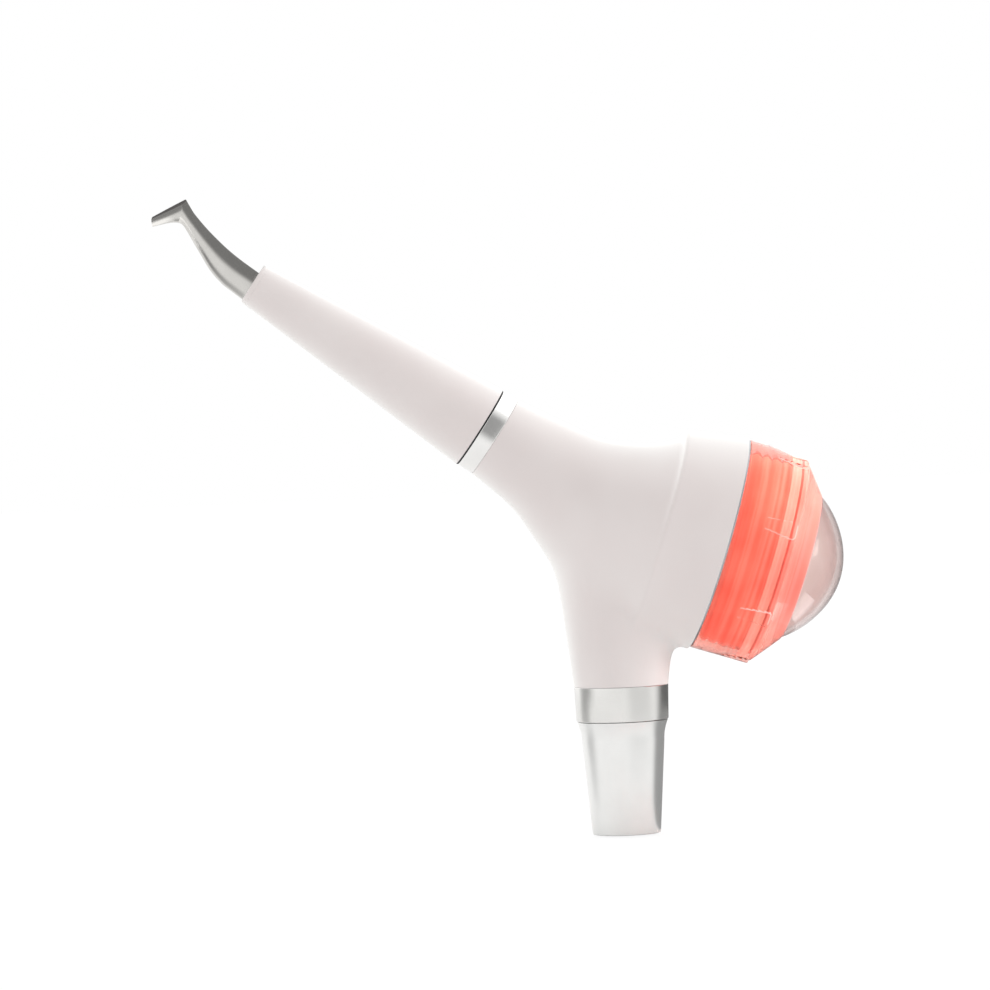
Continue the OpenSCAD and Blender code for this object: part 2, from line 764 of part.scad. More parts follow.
// A tube through two equal stacks of rings, outside and bore
module ring_tube(outside, bore) {
    sides = len(outside[0]);
    count = len(outside);
    points = concat([for (r = outside) each r], [for (r = bore) each r]);
    start = sides * count;
    walls = [for (i = [0:count - 2]) for (j = [0:sides - 1])
        let (a = i * sides + j, b = i * sides + (j + 1) % sides, c = start + a, d = start + b)
        each [[a, a + sides, b], [b, a + sides, b + sides],
              [c, d, c + sides], [d, d + sides, c + sides]]];
    top = (count - 1) * sides;
    rims = [for (j = [0:sides - 1]) let (k = (j + 1) % sides)
        each [[j, k, start + j], [k, start + k, start + j],
              [top + j, start + top + j, top + k], [top + k, start + top + j, start + top + k]]];
    polyhedron(points, concat(walls, rims));
}

// The nozzle's round seat ends this far inside the nose's front face
nozzle_ease = 0.5;

module nozzle() {
    sides = 24;
    base = [[-nozzle_seat, -nozzle_drop], [0, 1], nozzle_r, nozzle_r];
    stack = concat([base, [[-nozzle_ease, -nozzle_drop], [0, 1], nozzle_r, nozzle_r]],
                   [for (i = [1:len(nozzle_sections) - 1]) nozzle_sections[i]]);
    color("silver") along_nose() rotate([0, 0, nozzle_turn])
        ring_tube([for (s = stack) section_ring(s, 0, sides)],
                  [for (s = stack) section_ring(s, nozzle_wall, sides)]);
}

// The powder tube runs down the middle of the nose and of the nozzle's bore
module powder_tube() {
    sides = 8;
    count = len(nozzle_sections);
    straight = [[s_plug - s_face, 0], [-1.4 * nozzle_seat, 0],
                [-0.85 * nozzle_seat, -0.3 * nozzle_drop], [-0.4 * nozzle_seat, -0.8 * nozzle_drop]];
    bent = [for (i = [1:count - 1])
        let (s = nozzle_sections[i], w = nozzle_wall, low = w - s[2], high = section_edge(s, 0, w))
        [s[0] + (low + high) / 2 * s[1], s[1], powder_tube_r * (1 - 0.55 * i / count)]];
    path = concat([for (p = straight) [p, [0, 1], powder_tube_r]], bent);
    function ring(s, share) = [for (j = [0:sides - 1]) let (a = 360 * j / sides, r = share * s[2],
        c = s[0] + r * cos(a) * s[1]) [c[1], r * sin(a), s_face + c[0]]];
    color("silver") along_nose() rotate([0, 0, nozzle_turn])
        ring_tube([for (s = path) ring(s, 1)], [for (s = path) ring(s, 0.6)]);
}

// ---------------------------------------------------------------- cap

neck_inset = 0.6;
step_slope = 2.2;
dome_neck_r = shoulder_r - neck_inset;
seal_margin = 0.1;

module cap_seal() {
    color("dimgray") along_chamber()
        tube(cup_neck_r - seal_margin, cup_neck_r - cup_wall + seal_margin, t_rim + face_gap / 2, t_flange);
}

// Half outline of a shell: a straight neck and an elliptical crown
function crown(r, h, low) = [for (i = [0:18]) let (a = 5 * i) [r * cos(a), low + h * sin(a)]];

module dome() {
    color("rosybrown", 0.4) along_chamber() rotate_extrude() polygon(concat(
        [[dome_neck_r - dome_wall, t_flange], [cup_neck_r - seal_margin, t_flange],
         [cup_neck_r - seal_margin, t_flange_top], [dome_neck_r, t_flange_top]],
        crown(dome_neck_r, dome_h, t_dome),
        [for (i = [18:-1:0]) crown(dome_neck_r - dome_wall, dome_h - dome_wall, t_dome)[i]]));
}

module cap_ring() {
    t_under = t_flange_top + face_gap / 2;
    open_r = dome_neck_r + neck_inset / 2;
    edge = 0.3;
    step_ease = 0.8;
    lip = 1.7;
    color("tomato", 0.7) along_chamber() union() {
        rotate_extrude() polygon([
            [cap_bore_r, t_cap], [cap_r - edge, t_cap], [cap_r, t_cap + edge],
            [cap_r, t_step - step_slope], [cap_r - grip_step, t_step + step_ease],
            [cap_r - grip_step - 0.05, t_shoulder],
            [shoulder_r, t_dome], [open_r, t_dome], [open_r, t_under + lip],
            [open_r + lip, t_under], [cap_bore_r, t_under]]);
        grip_lugs();
    }
}

module grip_lugs() {
    half_w = cap_r * tan(lug_angle / 2);
    round_r = 1;
    intersection() {
        tube(cap_r - 0.05, cap_r - grip_step - 0.4, t_step - step_slope, t_shoulder - 0.1);
        for (i = [0:lug_count - 1]) rotate([0, 0, 270 - 19 - 360 * i / lug_count])
            rotate([0, 90, 0]) linear_extrude(height = cap_r + 1) hull() {
                translate([step_slope - t_step, -half_w]) square([0.1, 2 * half_w]);
                for (side = [-1, 1])
                    translate([round_r + 0.1 - t_shoulder, side * (half_w - round_r)])
                        circle(r = round_r, $fn = 24);
            }
    }
}

coupling_sleeve();
hose_gasket();
hose_connector();
coupling_plug();
neck_nut();
coupling_orings();
body_shell();
coupling_ring();
coupling_socket();
nose_ring();
nose_socket();
manifold_block();
air_line();
water_line();
powder_line();
nose_water_line();
chamber_cup();
trim_ring();
powder_pipe();
air_pipe();
air_valve();
pipe_nuts();
cup_screws();
nose_orings();
nose_sleeve();
front_ring();
nose_plug();
powder_tube();
nozzle();
dome();
cap_seal();
cap_ring();
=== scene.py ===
"""Looks of the powder-jet polishing handpiece: fine shapes, finishes, studio and camera."""

import json
import logging
import math
from collections.abc import Callable, Sequence
from dataclasses import dataclass, field
from enum import Enum

import bmesh
import bpy
import numpy as np
from mathutils import Matrix, Vector


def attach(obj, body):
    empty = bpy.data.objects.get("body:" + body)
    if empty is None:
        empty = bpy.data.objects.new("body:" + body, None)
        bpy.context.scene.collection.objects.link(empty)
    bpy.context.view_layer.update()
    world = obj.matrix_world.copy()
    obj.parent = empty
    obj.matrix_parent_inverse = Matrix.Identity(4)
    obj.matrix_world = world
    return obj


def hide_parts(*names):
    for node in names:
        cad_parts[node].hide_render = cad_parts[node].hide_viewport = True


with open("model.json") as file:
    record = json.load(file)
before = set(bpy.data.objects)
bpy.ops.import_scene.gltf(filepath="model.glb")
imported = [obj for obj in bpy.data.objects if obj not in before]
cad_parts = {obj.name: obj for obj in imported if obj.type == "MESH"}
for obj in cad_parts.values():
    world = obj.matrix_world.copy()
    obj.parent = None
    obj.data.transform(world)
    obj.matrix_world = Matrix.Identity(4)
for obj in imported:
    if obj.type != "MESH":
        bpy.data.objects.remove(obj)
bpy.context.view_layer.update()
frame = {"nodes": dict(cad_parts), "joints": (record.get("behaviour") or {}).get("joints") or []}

MM = 0.001
WELD = 1e-7
log = logging.getLogger("handpiece")

Points = np.ndarray
Field = Callable[[Points], np.ndarray]


def node_points(node: str) -> Points:
    """Reads the corners of a solid of the frame, in mm."""
    return np.array([v.co for v in frame["nodes"][node].data.vertices], float) / MM


class Arm(Enum):
    """The three arms that meet at the hub, each named by the joint that turns about it."""

    COUPLING = "coupling_swivel"
    NOSE = "nose_swivel"
    CHAMBER = "cap_turn"


@dataclass(frozen=True)
class Axis:
    """An arm's axis: pieces are drawn as [across, sideways, along] and placed by it, in mm."""

    hub: Points
    along: Points

    @property
    def across(self) -> Points:
        """The unit direction square to the axis, in the upright plane of the three arms."""
        return np.cross([0.0, 1.0, 0.0], self.along)

    @property
    def basis(self) -> Points:
        """The arm's own directions as rows: across, sideways and along."""
        return np.array([self.across, [0.0, 1.0, 0.0], self.along])

    def place(self, local: Points) -> Points:
        """Moves points from the arm's own frame to the part's.

        Args:
            local: Points as [across, sideways, along], in mm.

        Returns:
            The points in the part's frame, in mm.
        """
        return self.hub + local @ self.basis

    def local(self, points: Points) -> Points:
        """Moves points from the part's frame to the arm's own.

        Args:
            points: Points in the part's frame, in mm.

        Returns:
            The points as [across, sideways, along], in mm.
        """
        return (points - self.hub) @ self.basis.T

    def span(self, node: str) -> "Span":
        """Measures a node's extent along the axis.

        Args:
            node: The name of a solid of the frame.

        Returns:
            Its lowest and highest station and its radii.
        """
        local = self.local(node_points(node))
        radii = np.hypot(local[:, 0], local[:, 1])
        return Span(local[:, 2].min(), local[:, 2].max(), radii.min(), radii.max())


@dataclass(frozen=True)
class Span:
    """Extent of a node along an arm's axis, in mm."""

    low: float
    high: float
    inner: float
    outer: float


def arm_axes() -> dict[Arm, Axis]:
    """Reads the three arms' axes from the frame's joints.

    Returns:
        The axis of each arm, all measured from the hub, except that the coupling's
        stations are heights above the coupling's mouth.
    """
    joints = {joint["name"]: joint for joint in frame["joints"]}
    chamber = joints[Arm.CHAMBER.value]
    point = np.array(chamber["pos_m"]) / MM
    along = np.array(chamber["axis"], float)
    hub = point - along * point[0] / along[0]
    return {
        Arm.COUPLING: Axis(np.zeros(3), np.array([0.0, 0.0, 1.0])),
        Arm.NOSE: Axis(hub, np.array(joints[Arm.NOSE.value]["axis"], float)),
        Arm.CHAMBER: Axis(hub, along),
    }


# ------------------------------------------------------------------ mesh helpers


@dataclass(frozen=True)
class Corner:
    """A corner of a turned outline: radius, station and rounding, in mm."""

    r: float
    t: float
    rounding: float = 0.0


def rounded(corners: Sequence[Corner], steps: int = 5) -> Points:
    """Rounds the corners of a closed outline.

    Args:
        corners: The outline's corners in order.
        steps: Straight pieces in each rounding.

    Returns:
        The outline as rows of [radius, station], in mm.
    """
    rows: list[Points] = []
    count = len(corners)
    for index, corner in enumerate(corners):
        here = np.array([corner.r, corner.t])
        if corner.rounding == 0:
            rows.append(here)
            continue
        before = np.array([corners[index - 1].r, corners[index - 1].t]) - here
        after_corner = corners[(index + 1) % count]
        after = np.array([after_corner.r, after_corner.t]) - here
        before /= np.linalg.norm(before)
        after /= np.linalg.norm(after)
        half = math.acos(float(np.clip(before @ after, -1, 1))) / 2
        reach = corner.rounding / math.tan(half)
        start, end = here + reach * before, here + reach * after
        for step in range(steps + 1):
            u = step / steps
            rows.append((1 - u) ** 2 * start + 2 * u * (1 - u) * here + u * u * end)
    return np.array(rows)


def angles_round(sides: int) -> Points:
    """Equal steps round a full turn, in radians."""
    return np.arange(sides) * 2 * math.pi / sides


def soft_ends(share: Points | float) -> Points:
    """Holds a share between 0 and 1 and eases both of its ends."""
    share = np.clip(share, 0, 1)
    return share * share * (3 - 2 * share)


def ring_faces(rings: int, sides: int, closed: bool) -> Points:
    """Faces between neighbouring rings of a stack.

    Args:
        rings: Number of rings.
        sides: Points in each ring.
        closed: Whether the last ring joins the first.

    Returns:
        The four-sided faces as rows of point numbers.
    """
    ring = np.arange(rings if closed else rings - 1)[:, None]
    side = np.arange(sides)[None, :]
    above = (ring + 1) % rings
    beside = (side + 1) % sides
    faces = np.stack([ring * sides + side, ring * sides + beside,
                      above * sides + beside, above * sides + side], axis=-1)
    return faces.reshape(-1, 4)


def make_piece(name: str, points: Points, faces: Points | list, sharp: float = 32.0) -> bpy.types.Object:
    """Makes a smooth-shaded object with crisp edges.

    Args:
        name: The object's name.
        points: Points in the part's frame, in mm.
        faces: Faces as rows of point numbers.
        sharp: Edges that bend by more than this many degrees stay crisp.

    Returns:
        The new object, linked to the scene.
    """
    mesh = bpy.data.meshes.new(name)
    mesh.from_pydata((points * MM).tolist(), [], [list(map(int, f)) for f in faces])
    work = bmesh.new()
    work.from_mesh(mesh)
    bmesh.ops.remove_doubles(work, verts=work.verts, dist=WELD)
    bmesh.ops.recalc_face_normals(work, faces=work.faces)
    work.to_mesh(mesh)
    work.free()
    shade(mesh, sharp)
    return add_object(name, mesh)


def add_object(name: str, data: bpy.types.ID) -> bpy.types.Object:
    """Makes an object and links it to the scene.

    Args:
        name: The object's name.
        data: Its mesh, lamp or camera.

    Returns:
        The object.
    """
    added = bpy.data.objects.new(name, data)
    bpy.context.scene.collection.objects.link(added)
    return added


def make_turned(name: str, axis: Axis, radius: Points, station: Points, shift: Points | None = None,
                sharp: float = 32.0) -> bpy.types.Object:
    """Makes a piece from a closed grid of rings round an arm's axis.

    Args:
        name: The object's name.
        axis: The arm's axis.
        radius: Radius of each point, a row for each ring, in mm.
        station: Station of each point, in mm.
        shift: How far each ring's centre lies off the axis, as [across, sideways].
        sharp: Edges that bend by more than this many degrees stay crisp.

    Returns:
        The new object.
    """
    rings, sides = radius.shape
    angles = angles_round(sides)
    centre = np.zeros((rings, 2)) if shift is None else shift
    points = np.stack([centre[:, :1] + radius * np.cos(angles),
                       centre[:, 1:] + radius * np.sin(angles), station], axis=-1)
    return make_piece(name, axis.place(points.reshape(-1, 3)), ring_faces(rings, sides, closed=True), sharp)


def turn_outline(name: str, axis: Axis, outline: Points, sides: int = 256, shift: Points | None = None,
                 sharp: float = 32.0) -> bpy.types.Object:
    """Makes a piece by turning a closed outline about an arm's axis.

    Args:
        name: The object's name.
        axis: The arm's axis.
        outline: Rows of [radius, station], in mm.
        sides: Steps round the axis.
        shift: How far each row's centre lies off the axis, as [across, sideways].
        sharp: Edges that bend by more than this many degrees stay crisp.

    Returns:
        The new object.
    """
    radius, station = spread(outline, sides)
    return make_turned(name, axis, radius, station, shift, sharp)


def spread(outline: Points, sides: int) -> tuple[Points, Points]:
    """Repeats an outline's radii and stations round the axis, a row for each ring."""
    return np.repeat(outline[:, :1], sides, axis=1), np.repeat(outline[:, 1:], sides, axis=1)


def shade(mesh: bpy.types.Mesh, sharp: float) -> None:
    """Shades a mesh smooth and leaves its sharp edges crisp.

    Args:
        mesh: The mesh.
        sharp: Edges that bend by more than this many degrees stay crisp.
    """
    mesh.polygons.foreach_set("use_smooth", [True] * len(mesh.polygons))
    mesh.set_sharp_from_angle(angle=math.radians(sharp))
    mesh.update()


def carve(piece: bpy.types.Object, tools: Sequence[bpy.types.Object], sharp: float) -> None:
    """Cuts closed tools out of a closed piece and removes them.

    Args:
        piece: The object that is cut.
        tools: The objects that are cut away.
        sharp: Edges that bend by more than this many degrees stay crisp.
    """
    for tool in tools:
        cut = piece.modifiers.new("cut", "BOOLEAN")
        cut.operation = "DIFFERENCE"
        cut.solver = "EXACT"
        cut.object = tool
    graph = bpy.context.evaluated_depsgraph_get()
    result = bpy.data.meshes.new_from_object(piece.evaluated_get(graph))
    piece.modifiers.clear()
    old = piece.data
    piece.data = result
    result.name = old.name
    bpy.data.meshes.remove(old)
    for tool in tools:
        bpy.data.objects.remove(tool)
    shade(result, sharp)


def trim(points: Points, faces: Sequence[Sequence[int]],
         planes: Sequence[tuple[Points, Points]]) -> tuple[Points, list]:
    """Cuts a mesh by planes and closes the cuts with flat faces.

    Args:
        points: The mesh's points, in mm.
        faces: The mesh's faces.
        planes: A point on each plane and the direction that is cut away.

    Returns:
        The points and faces of the closed mesh.
    """
    mesh = bpy.data.meshes.new("trim")
    mesh.from_pydata(points.tolist(), [], [list(map(int, face)) for face in faces])
    work = bmesh.new()
    work.from_mesh(mesh)
    bpy.data.meshes.remove(mesh)
    for at, away in planes:
        geometry = [*work.verts, *work.edges, *work.faces]
        cut = bmesh.ops.bisect_plane(work, geom=geometry, plane_co=Vector(at), plane_no=Vector(away),
                                     dist=1e-5, clear_outer=True)
        rim = [e for e in cut["geom_cut"] if isinstance(e, bmesh.types.BMEdge)]
        bmesh.ops.edgeloop_fill(work, edges=rim)
    work.verts.index_update()
    out_points = np.array([v.co for v in work.verts])
    out_faces = [[v.index for v in f.verts] for f in work.faces]
    work.free()
    return out_points, out_faces


def surface_net(shape: Field, low: Points, high: Points, cell: float) -> tuple[Points, Points]:
    """Meshes the zero surface of a signed distance with four-sided faces.

    Args:
        shape: Signed distance, negative inside.
        low: Lowest corner of the space searched, in mm.
        high: Highest corner, in mm.
        cell: Size of a cell, in mm.

    Returns:
        The surface's points and faces.
    """
    counts = np.ceil((high - low) / cell).astype(int) + 1
    lines = [low[d] + cell * np.arange(counts[d]) for d in range(3)]
    grid = np.stack(np.meshgrid(*lines, indexing="ij"), axis=-1)
    value = shape(grid.reshape(-1, 3)).reshape(counts)
    inside = value < 0
    total = np.zeros(counts - 1)
    place = np.zeros((*(counts - 1), 3))
    for d in range(3):
        others = [e for e in range(3) if e != d]
        for step in ((0, 0), (0, 1), (1, 0), (1, 1)):
            start = [0, 0, 0]
            start[others[0]], start[others[1]] = step
            near = tuple(slice(start[e], start[e] + counts[e] - 1) for e in range(3))
            far = tuple(slice(start[e] + (e == d), start[e] + (e == d) + counts[e] - 1) for e in range(3))
            crossing = inside[near] != inside[far]
            share = np.where(crossing, value[near] / np.where(crossing, value[near] - value[far], 1), 0)
            point = grid[near] + share[..., None] * (np.arange(3) == d) * cell
            total += crossing
            place += np.where(crossing[..., None], point, 0)
    active = total > 0
    number = np.full(active.shape, -1)
    number[active] = np.arange(active.sum())
    points = place[active] / total[active][:, None]
    faces = []
    for d in range(3):
        u, v = (d + 1) % 3, (d + 2) % 3
        lower = inside[tuple(slice(0, counts[e] - (e == d)) for e in range(3))]
        upper = inside[tuple(slice((e == d), counts[e]) for e in range(3))]
        cells = np.argwhere(lower != upper)
        beside = cells[:, [u, v]]
        cells = cells[((beside > 0) & (beside < counts[[u, v]] - 1)).all(axis=1)]
        outward = lower[tuple(cells.T)]
        step_u, step_v = (np.arange(3) == u).astype(int), (np.arange(3) == v).astype(int)
        loop = [cells - step_u - step_v, cells - step_v, cells, cells - step_u]
        quads = np.stack([number[tuple(c.T)] for c in loop], axis=-1)
        faces.append(np.where(outward[:, None], quads, quads[:, ::-1]))
    return points, np.concatenate(faces)


def settle(shape: Field, points: Points, rounds: int = 4) -> Points:
    """Moves points onto the zero surface along its gradient.

    Args:
        shape: Signed distance, negative inside.
        points: Points near the surface, in mm.
        rounds: Number of corrections.

    Returns:
        The corrected points.
    """
    probe = 0.02
    for _ in range(rounds):
        slope = np.stack([(shape(points + probe * axis) - shape(points - probe * axis)) / (2 * probe)
                          for axis in np.eye(3)], axis=-1)
        points = points - (shape(points) / (slope ** 2).sum(axis=1))[:, None] * slope
    return points


def finish_with(mesh: bpy.types.Mesh, material: bpy.types.Material) -> None:
    """Gives a mesh that finish and no other."""
    mesh.materials.clear()
    mesh.materials.append(material)


def adopt(piece: bpy.types.Object, body: str, slot: str, material: bpy.types.Material,
          *nodes: str) -> None:
    """Gives a piece its finish and body and lets it stand for solids of the frame.

    Args:
        piece: The object.
        body: The body that it moves with.
        slot: The record's material slot; not used.
        material: Its finish.
        nodes: The solids that it stands for.
    """
    finish_with(piece.data, material)
    if nodes:
        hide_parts(*nodes)
    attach(piece, body)
    log.info("%s: %d faces, rides on %s", piece.name, len(piece.data.polygons), body)


# ------------------------------------------------------------------ shader groups

# Scales of the noises are per metre, ranges are shares of a noise's height, depths in metres.
CLOUD_SCALE = 160.0
GLOSS_SCALE = 900.0
WAVE_SCALE = 320.0
CLOUD_RANGE = (0.3, 0.7)
FLOW_RANGE = (0.35, 0.65)
# Range of the painted bands: reflection and shade of a thread seen through clear plastic.
PAINTED_BAND_RANGE = (0.42, 0.62)
SKIN_DEPTH = 0.0005
GROOVE_DEPTH = 0.0002


class Graph:
    """A node tree under construction."""

    def __init__(self, tree: bpy.types.NodeTree) -> None:
        """Takes the tree and empties it."""
        self.tree = tree
        tree.nodes.clear()

    def add(self, kind: str, inputs: dict | None = None, **settings: object) -> bpy.types.Node:
        """Adds a node.

        Args:
            kind: Blender's name of the node's type.
            inputs: Values or sockets for inputs, by name or number.
            settings: The node's own settings.

        Returns:
            The node.
        """
        node = self.tree.nodes.new(kind)
        for name, value in settings.items():
            setattr(node, name, value)
        self.feed(node, inputs or {})
        return node

    def group(self, tree: bpy.types.NodeTree, inputs: dict) -> bpy.types.Node:
        """Places a shared group with its own values and returns its node."""
        return self.add("ShaderNodeGroup", inputs, node_tree=tree)

    def relief(self, height: bpy.types.NodeSocket, strength: float, depth: float) -> bpy.types.NodeSocket:
        """Adds a bump node over a height.

        Args:
            height: The height's socket.
            strength: The share of the relief that shows.
            depth: The relief's depth, in metres.

        Returns:
            The socket of the normal.
        """
        bump = self.add("ShaderNodeBump", {"Height": height, "Strength": strength, "Distance": depth})
        return bump.outputs[0]

    def feed(self, node: bpy.types.Node, inputs: dict) -> None:
        """Gives a node's inputs what they take.

        Args:
            node: The node.
            inputs: Values or sockets for inputs, by name or number.
        """
        for key, value in inputs.items():
            if isinstance(value, bpy.types.NodeSocket):
                self.tree.links.new(value, node.inputs[key])
            else:
                node.inputs[key].default_value = value

    def ray_kinds(self) -> tuple[bpy.types.NodeSocket, bpy.types.NodeSocket]:
        """Tells kinds of ray apart.

        Returns:
            One for rays that the camera or clear plastic sends, and one for rays
            that a matt surface has thrown back.
        """
        ray = self.add("ShaderNodeLightPath")
        seen = self.math("MAXIMUM", ray.outputs["Is Camera Ray"], ray.outputs["Is Transmission Ray"])
        return seen, self.math("GREATER_THAN", ray.outputs["Diffuse Depth"], 0.5)

    def math(self, operation: str, *values: object) -> bpy.types.NodeSocket:
        """Adds a math node of that operation and returns its value."""
        node = self.add("ShaderNodeMath", dict(enumerate(values)), operation=operation)
        return node.outputs[0]

    def blend(self, share: bpy.types.NodeSocket, first: object, second: object) -> bpy.types.NodeSocket:
        """Mixes two colours.

        Args:
            share: The second colour's share.
            first: Socket or value of the first colour.
            second: Socket or value of the second colour.

        Returns:
            The socket of the mixed colour.
        """
        mix = self.add("ShaderNodeMix", {"Factor": share}, data_type="RGBA")
        for key, source in (("A", first), ("B", second)):
            socket = next(s for s in mix.inputs if s.name == key and s.type == "RGBA")
            if isinstance(source, bpy.types.NodeSocket):
                self.tree.links.new(source, socket)
            else:
                socket.default_value = source
        return next(s for s in mix.outputs if s.type == "RGBA")

    def paint_rim_shading(self, colour: bpy.types.NodeSocket, rim: "Colour", power: float) -> bpy.types.NodeSocket:
        """Paints a rim into a colour where the surface slants away from the eye: painted light with a
        lighter rim colour, painted shade with a darker one.

        Args:
            colour: The colour seen square on.
            rim: The painted colour seen at a slant.
            power: How closely the second colour keeps to the rim.

        Returns:
            The socket of the colour.
        """
        facing = self.add("ShaderNodeLayerWeight", {"Blend": 0.5}).outputs["Facing"]
        return self.blend(self.math("POWER", facing, power), colour, (*rim, 1.0))

    def ramp(self, value: bpy.types.NodeSocket, low: float, high: float, to_low: float,
             to_high: float) -> bpy.types.NodeSocket:
        """Maps a value smoothly from one range to another.

        Args:
            value: The value's socket.
            low: Start of the range.
            high: End of the range.
            to_low: Result at the start.
            to_high: Result at the end.

        Returns:
            The socket of the result.
        """
        node = self.add("ShaderNodeMapRange", {0: value, 1: low, 2: high, 3: to_low, 4: to_high},
                        interpolation_type="SMOOTHSTEP")
        return node.outputs[0]


def new_group(name: str, inputs: dict[str, tuple[str, object]], outputs: dict[str, str]) -> Graph:
    """Starts a shader group with named sockets.

    Args:
        name: The group's name.
        inputs: Socket type and default of each input.
        outputs: Socket type of each output.

    Returns:
        The group's graph, empty.
    """
    tree = bpy.data.node_groups.new(name, "ShaderNodeTree")
    for label, (kind, default) in inputs.items():
        socket = tree.interface.new_socket(label, in_out="INPUT", socket_type=kind)
        socket.default_value = default
    for label, kind in outputs.items():
        tree.interface.new_socket(label, in_out="OUTPUT", socket_type=kind)
    return Graph(tree)


def turned_grain_group() -> bpy.types.NodeTree:
    """Fine grooves that a lathe leaves round an axis, with a faint cloudiness.

    Returns:
        The group, with the outputs Height and Tone.
    """
    graph = new_group("turned_grain", {
        "Axis": ("NodeSocketVector", (0.0, 0.0, 1.0)),
        "Lines": ("NodeSocketFloat", 5000.0),
        "Cloud": ("NodeSocketFloat", 0.04),
    }, {"Height": "NodeSocketFloat", "Tone": "NodeSocketFloat"})
    given = graph.add("NodeGroupInput")
    place = graph.add("ShaderNodeTexCoord").outputs["Object"]
    along = graph.add("ShaderNodeVectorMath", {0: place, 1: given.outputs["Axis"]},
                      operation="DOT_PRODUCT").outputs["Value"]
    station = graph.math("MULTIPLY", along, given.outputs["Lines"])
    lines = graph.add("ShaderNodeTexNoise", {"W": station, "Scale": 1.0, "Detail": 3.0,
                                             "Roughness": 0.65}, noise_dimensions="1D")
    cloud = graph.add("ShaderNodeTexNoise", {"Vector": place, "Scale": CLOUD_SCALE, "Detail": 4.0})
    half = graph.math("MULTIPLY", given.outputs["Cloud"], -1.0)
    low, high = CLOUD_RANGE
    tone = graph.add("ShaderNodeMapRange", {0: cloud.outputs[0], 1: low, 2: high, 3: half,
                                            4: given.outputs["Cloud"]})
    shifted = graph.math("ADD", tone.outputs[0], 1.0)
    graph.add("NodeGroupOutput", {"Height": lines.outputs[0], "Tone": shifted})
    return graph.tree


def mottle_group() -> bpy.types.NodeTree:
    """Slow variation of a colour and of its gloss, as in a sprayed or moulded skin.

    Returns:
        The group, with the outputs Color and Roughness.
    """
    graph = new_group("mottle", {
        "Color": ("NodeSocketColor", (0.8, 0.8, 0.8, 1.0)),
        "Second": ("NodeSocketColor", (0.8, 0.8, 0.8, 1.0)),
        "Roughness": ("NodeSocketFloat", 0.4),
        "Spread": ("NodeSocketFloat", 0.06),
        "Scale": ("NodeSocketFloat", 40.0),
    }, {"Color": "NodeSocketColor", "Roughness": "NodeSocketFloat"})
    given = graph.add("NodeGroupInput")
    place = graph.add("ShaderNodeTexCoord").outputs["Object"]
    slow = graph.add("ShaderNodeTexNoise", {"Vector": place, "Scale": given.outputs["Scale"],
                                            "Detail": 2.0})
    quick = graph.add("ShaderNodeTexNoise", {"Vector": place, "Detail": 5.0, "Scale": GLOSS_SCALE})
    share = graph.ramp(slow.outputs[0], *FLOW_RANGE, 0.0, 1.0)
    result = graph.blend(share, given.outputs["Color"], given.outputs["Second"])
    offset = graph.math("SUBTRACT", quick.outputs[0], 0.5)
    spread = graph.math("MULTIPLY", offset, given.outputs["Spread"])
    gloss = graph.math("ADD", given.outputs["Roughness"], spread)
    graph.add("NodeGroupOutput", {"Color": result, "Roughness": gloss})
    return graph.tree


def skin_grain_group() -> bpy.types.NodeTree:
    """The fine relief of a sprayed or moulded skin.

    Returns:
        The group, with the output Height.
    """
    graph = new_group("skin_grain", {
        "Scale": ("NodeSocketFloat", 2500.0),
        "Waviness": ("NodeSocketFloat", 0.4),
    }, {"Height": "NodeSocketFloat"})
    given = graph.add("NodeGroupInput")
    place = graph.add("ShaderNodeTexCoord").outputs["Object"]
    fine = graph.add("ShaderNodeTexNoise", {"Vector": place, "Scale": given.outputs["Scale"],
                                            "Detail": 2.0})
    wave = graph.add("ShaderNodeTexNoise", {"Vector": place, "Scale": WAVE_SCALE, "Detail": 1.0})
    slow = graph.math("MULTIPLY", wave.outputs[0], given.outputs["Waviness"])
    height = graph.math("ADD", fine.outputs[0], slow)
    graph.add("NodeGroupOutput", {"Height": height})
    return graph.tree


# ------------------------------------------------------------------ finishes

Colour = tuple[float, float, float]


def from_screen(red: int, green: int, blue: int) -> Colour:
    """Turns a screen colour into the scene's linear values.

    Args:
        red: Red from 0 to 255.
        green: Green from 0 to 255.
        blue: Blue from 0 to 255.

    Returns:
        The three linear values from 0 to 1.
    """
    def linear(value: int) -> float:
        """Turns one channel into its linear value."""
        share = value / 255
        return share / 12.92 if share <= 0.04045 else ((share + 0.055) / 1.055) ** 2.4
    return linear(red), linear(green), linear(blue)


@dataclass(frozen=True)
class Groups:
    """The shader groups that several finishes share."""

    turned: bpy.types.NodeTree
    mottle: bpy.types.NodeTree
    skin: bpy.types.NodeTree

    @classmethod
    def build(cls) -> "Groups":
        """Builds each group once."""
        return cls(turned_grain_group(), mottle_group(), skin_grain_group())


def empty_material(name: str) -> tuple[bpy.types.Material, Graph]:
    """Starts a material.

    Args:
        name: The material's name.

    Returns:
        The material and its graph, empty.
    """
    material = bpy.data.materials.new(name)
    material.use_nodes = True
    return material, Graph(material.node_tree)


def new_material(name: str) -> tuple[bpy.types.Material, Graph, bpy.types.Node]:
    """Starts a material with one surface.

    Args:
        name: The material's name.

    Returns:
        The material, its graph and its Principled BSDF, linked to the output.
    """
    material, graph = empty_material(name)
    surface = graph.add("ShaderNodeBsdfPrincipled")
    graph.add("ShaderNodeOutputMaterial", {"Surface": surface.outputs[0]})
    return material, graph, surface


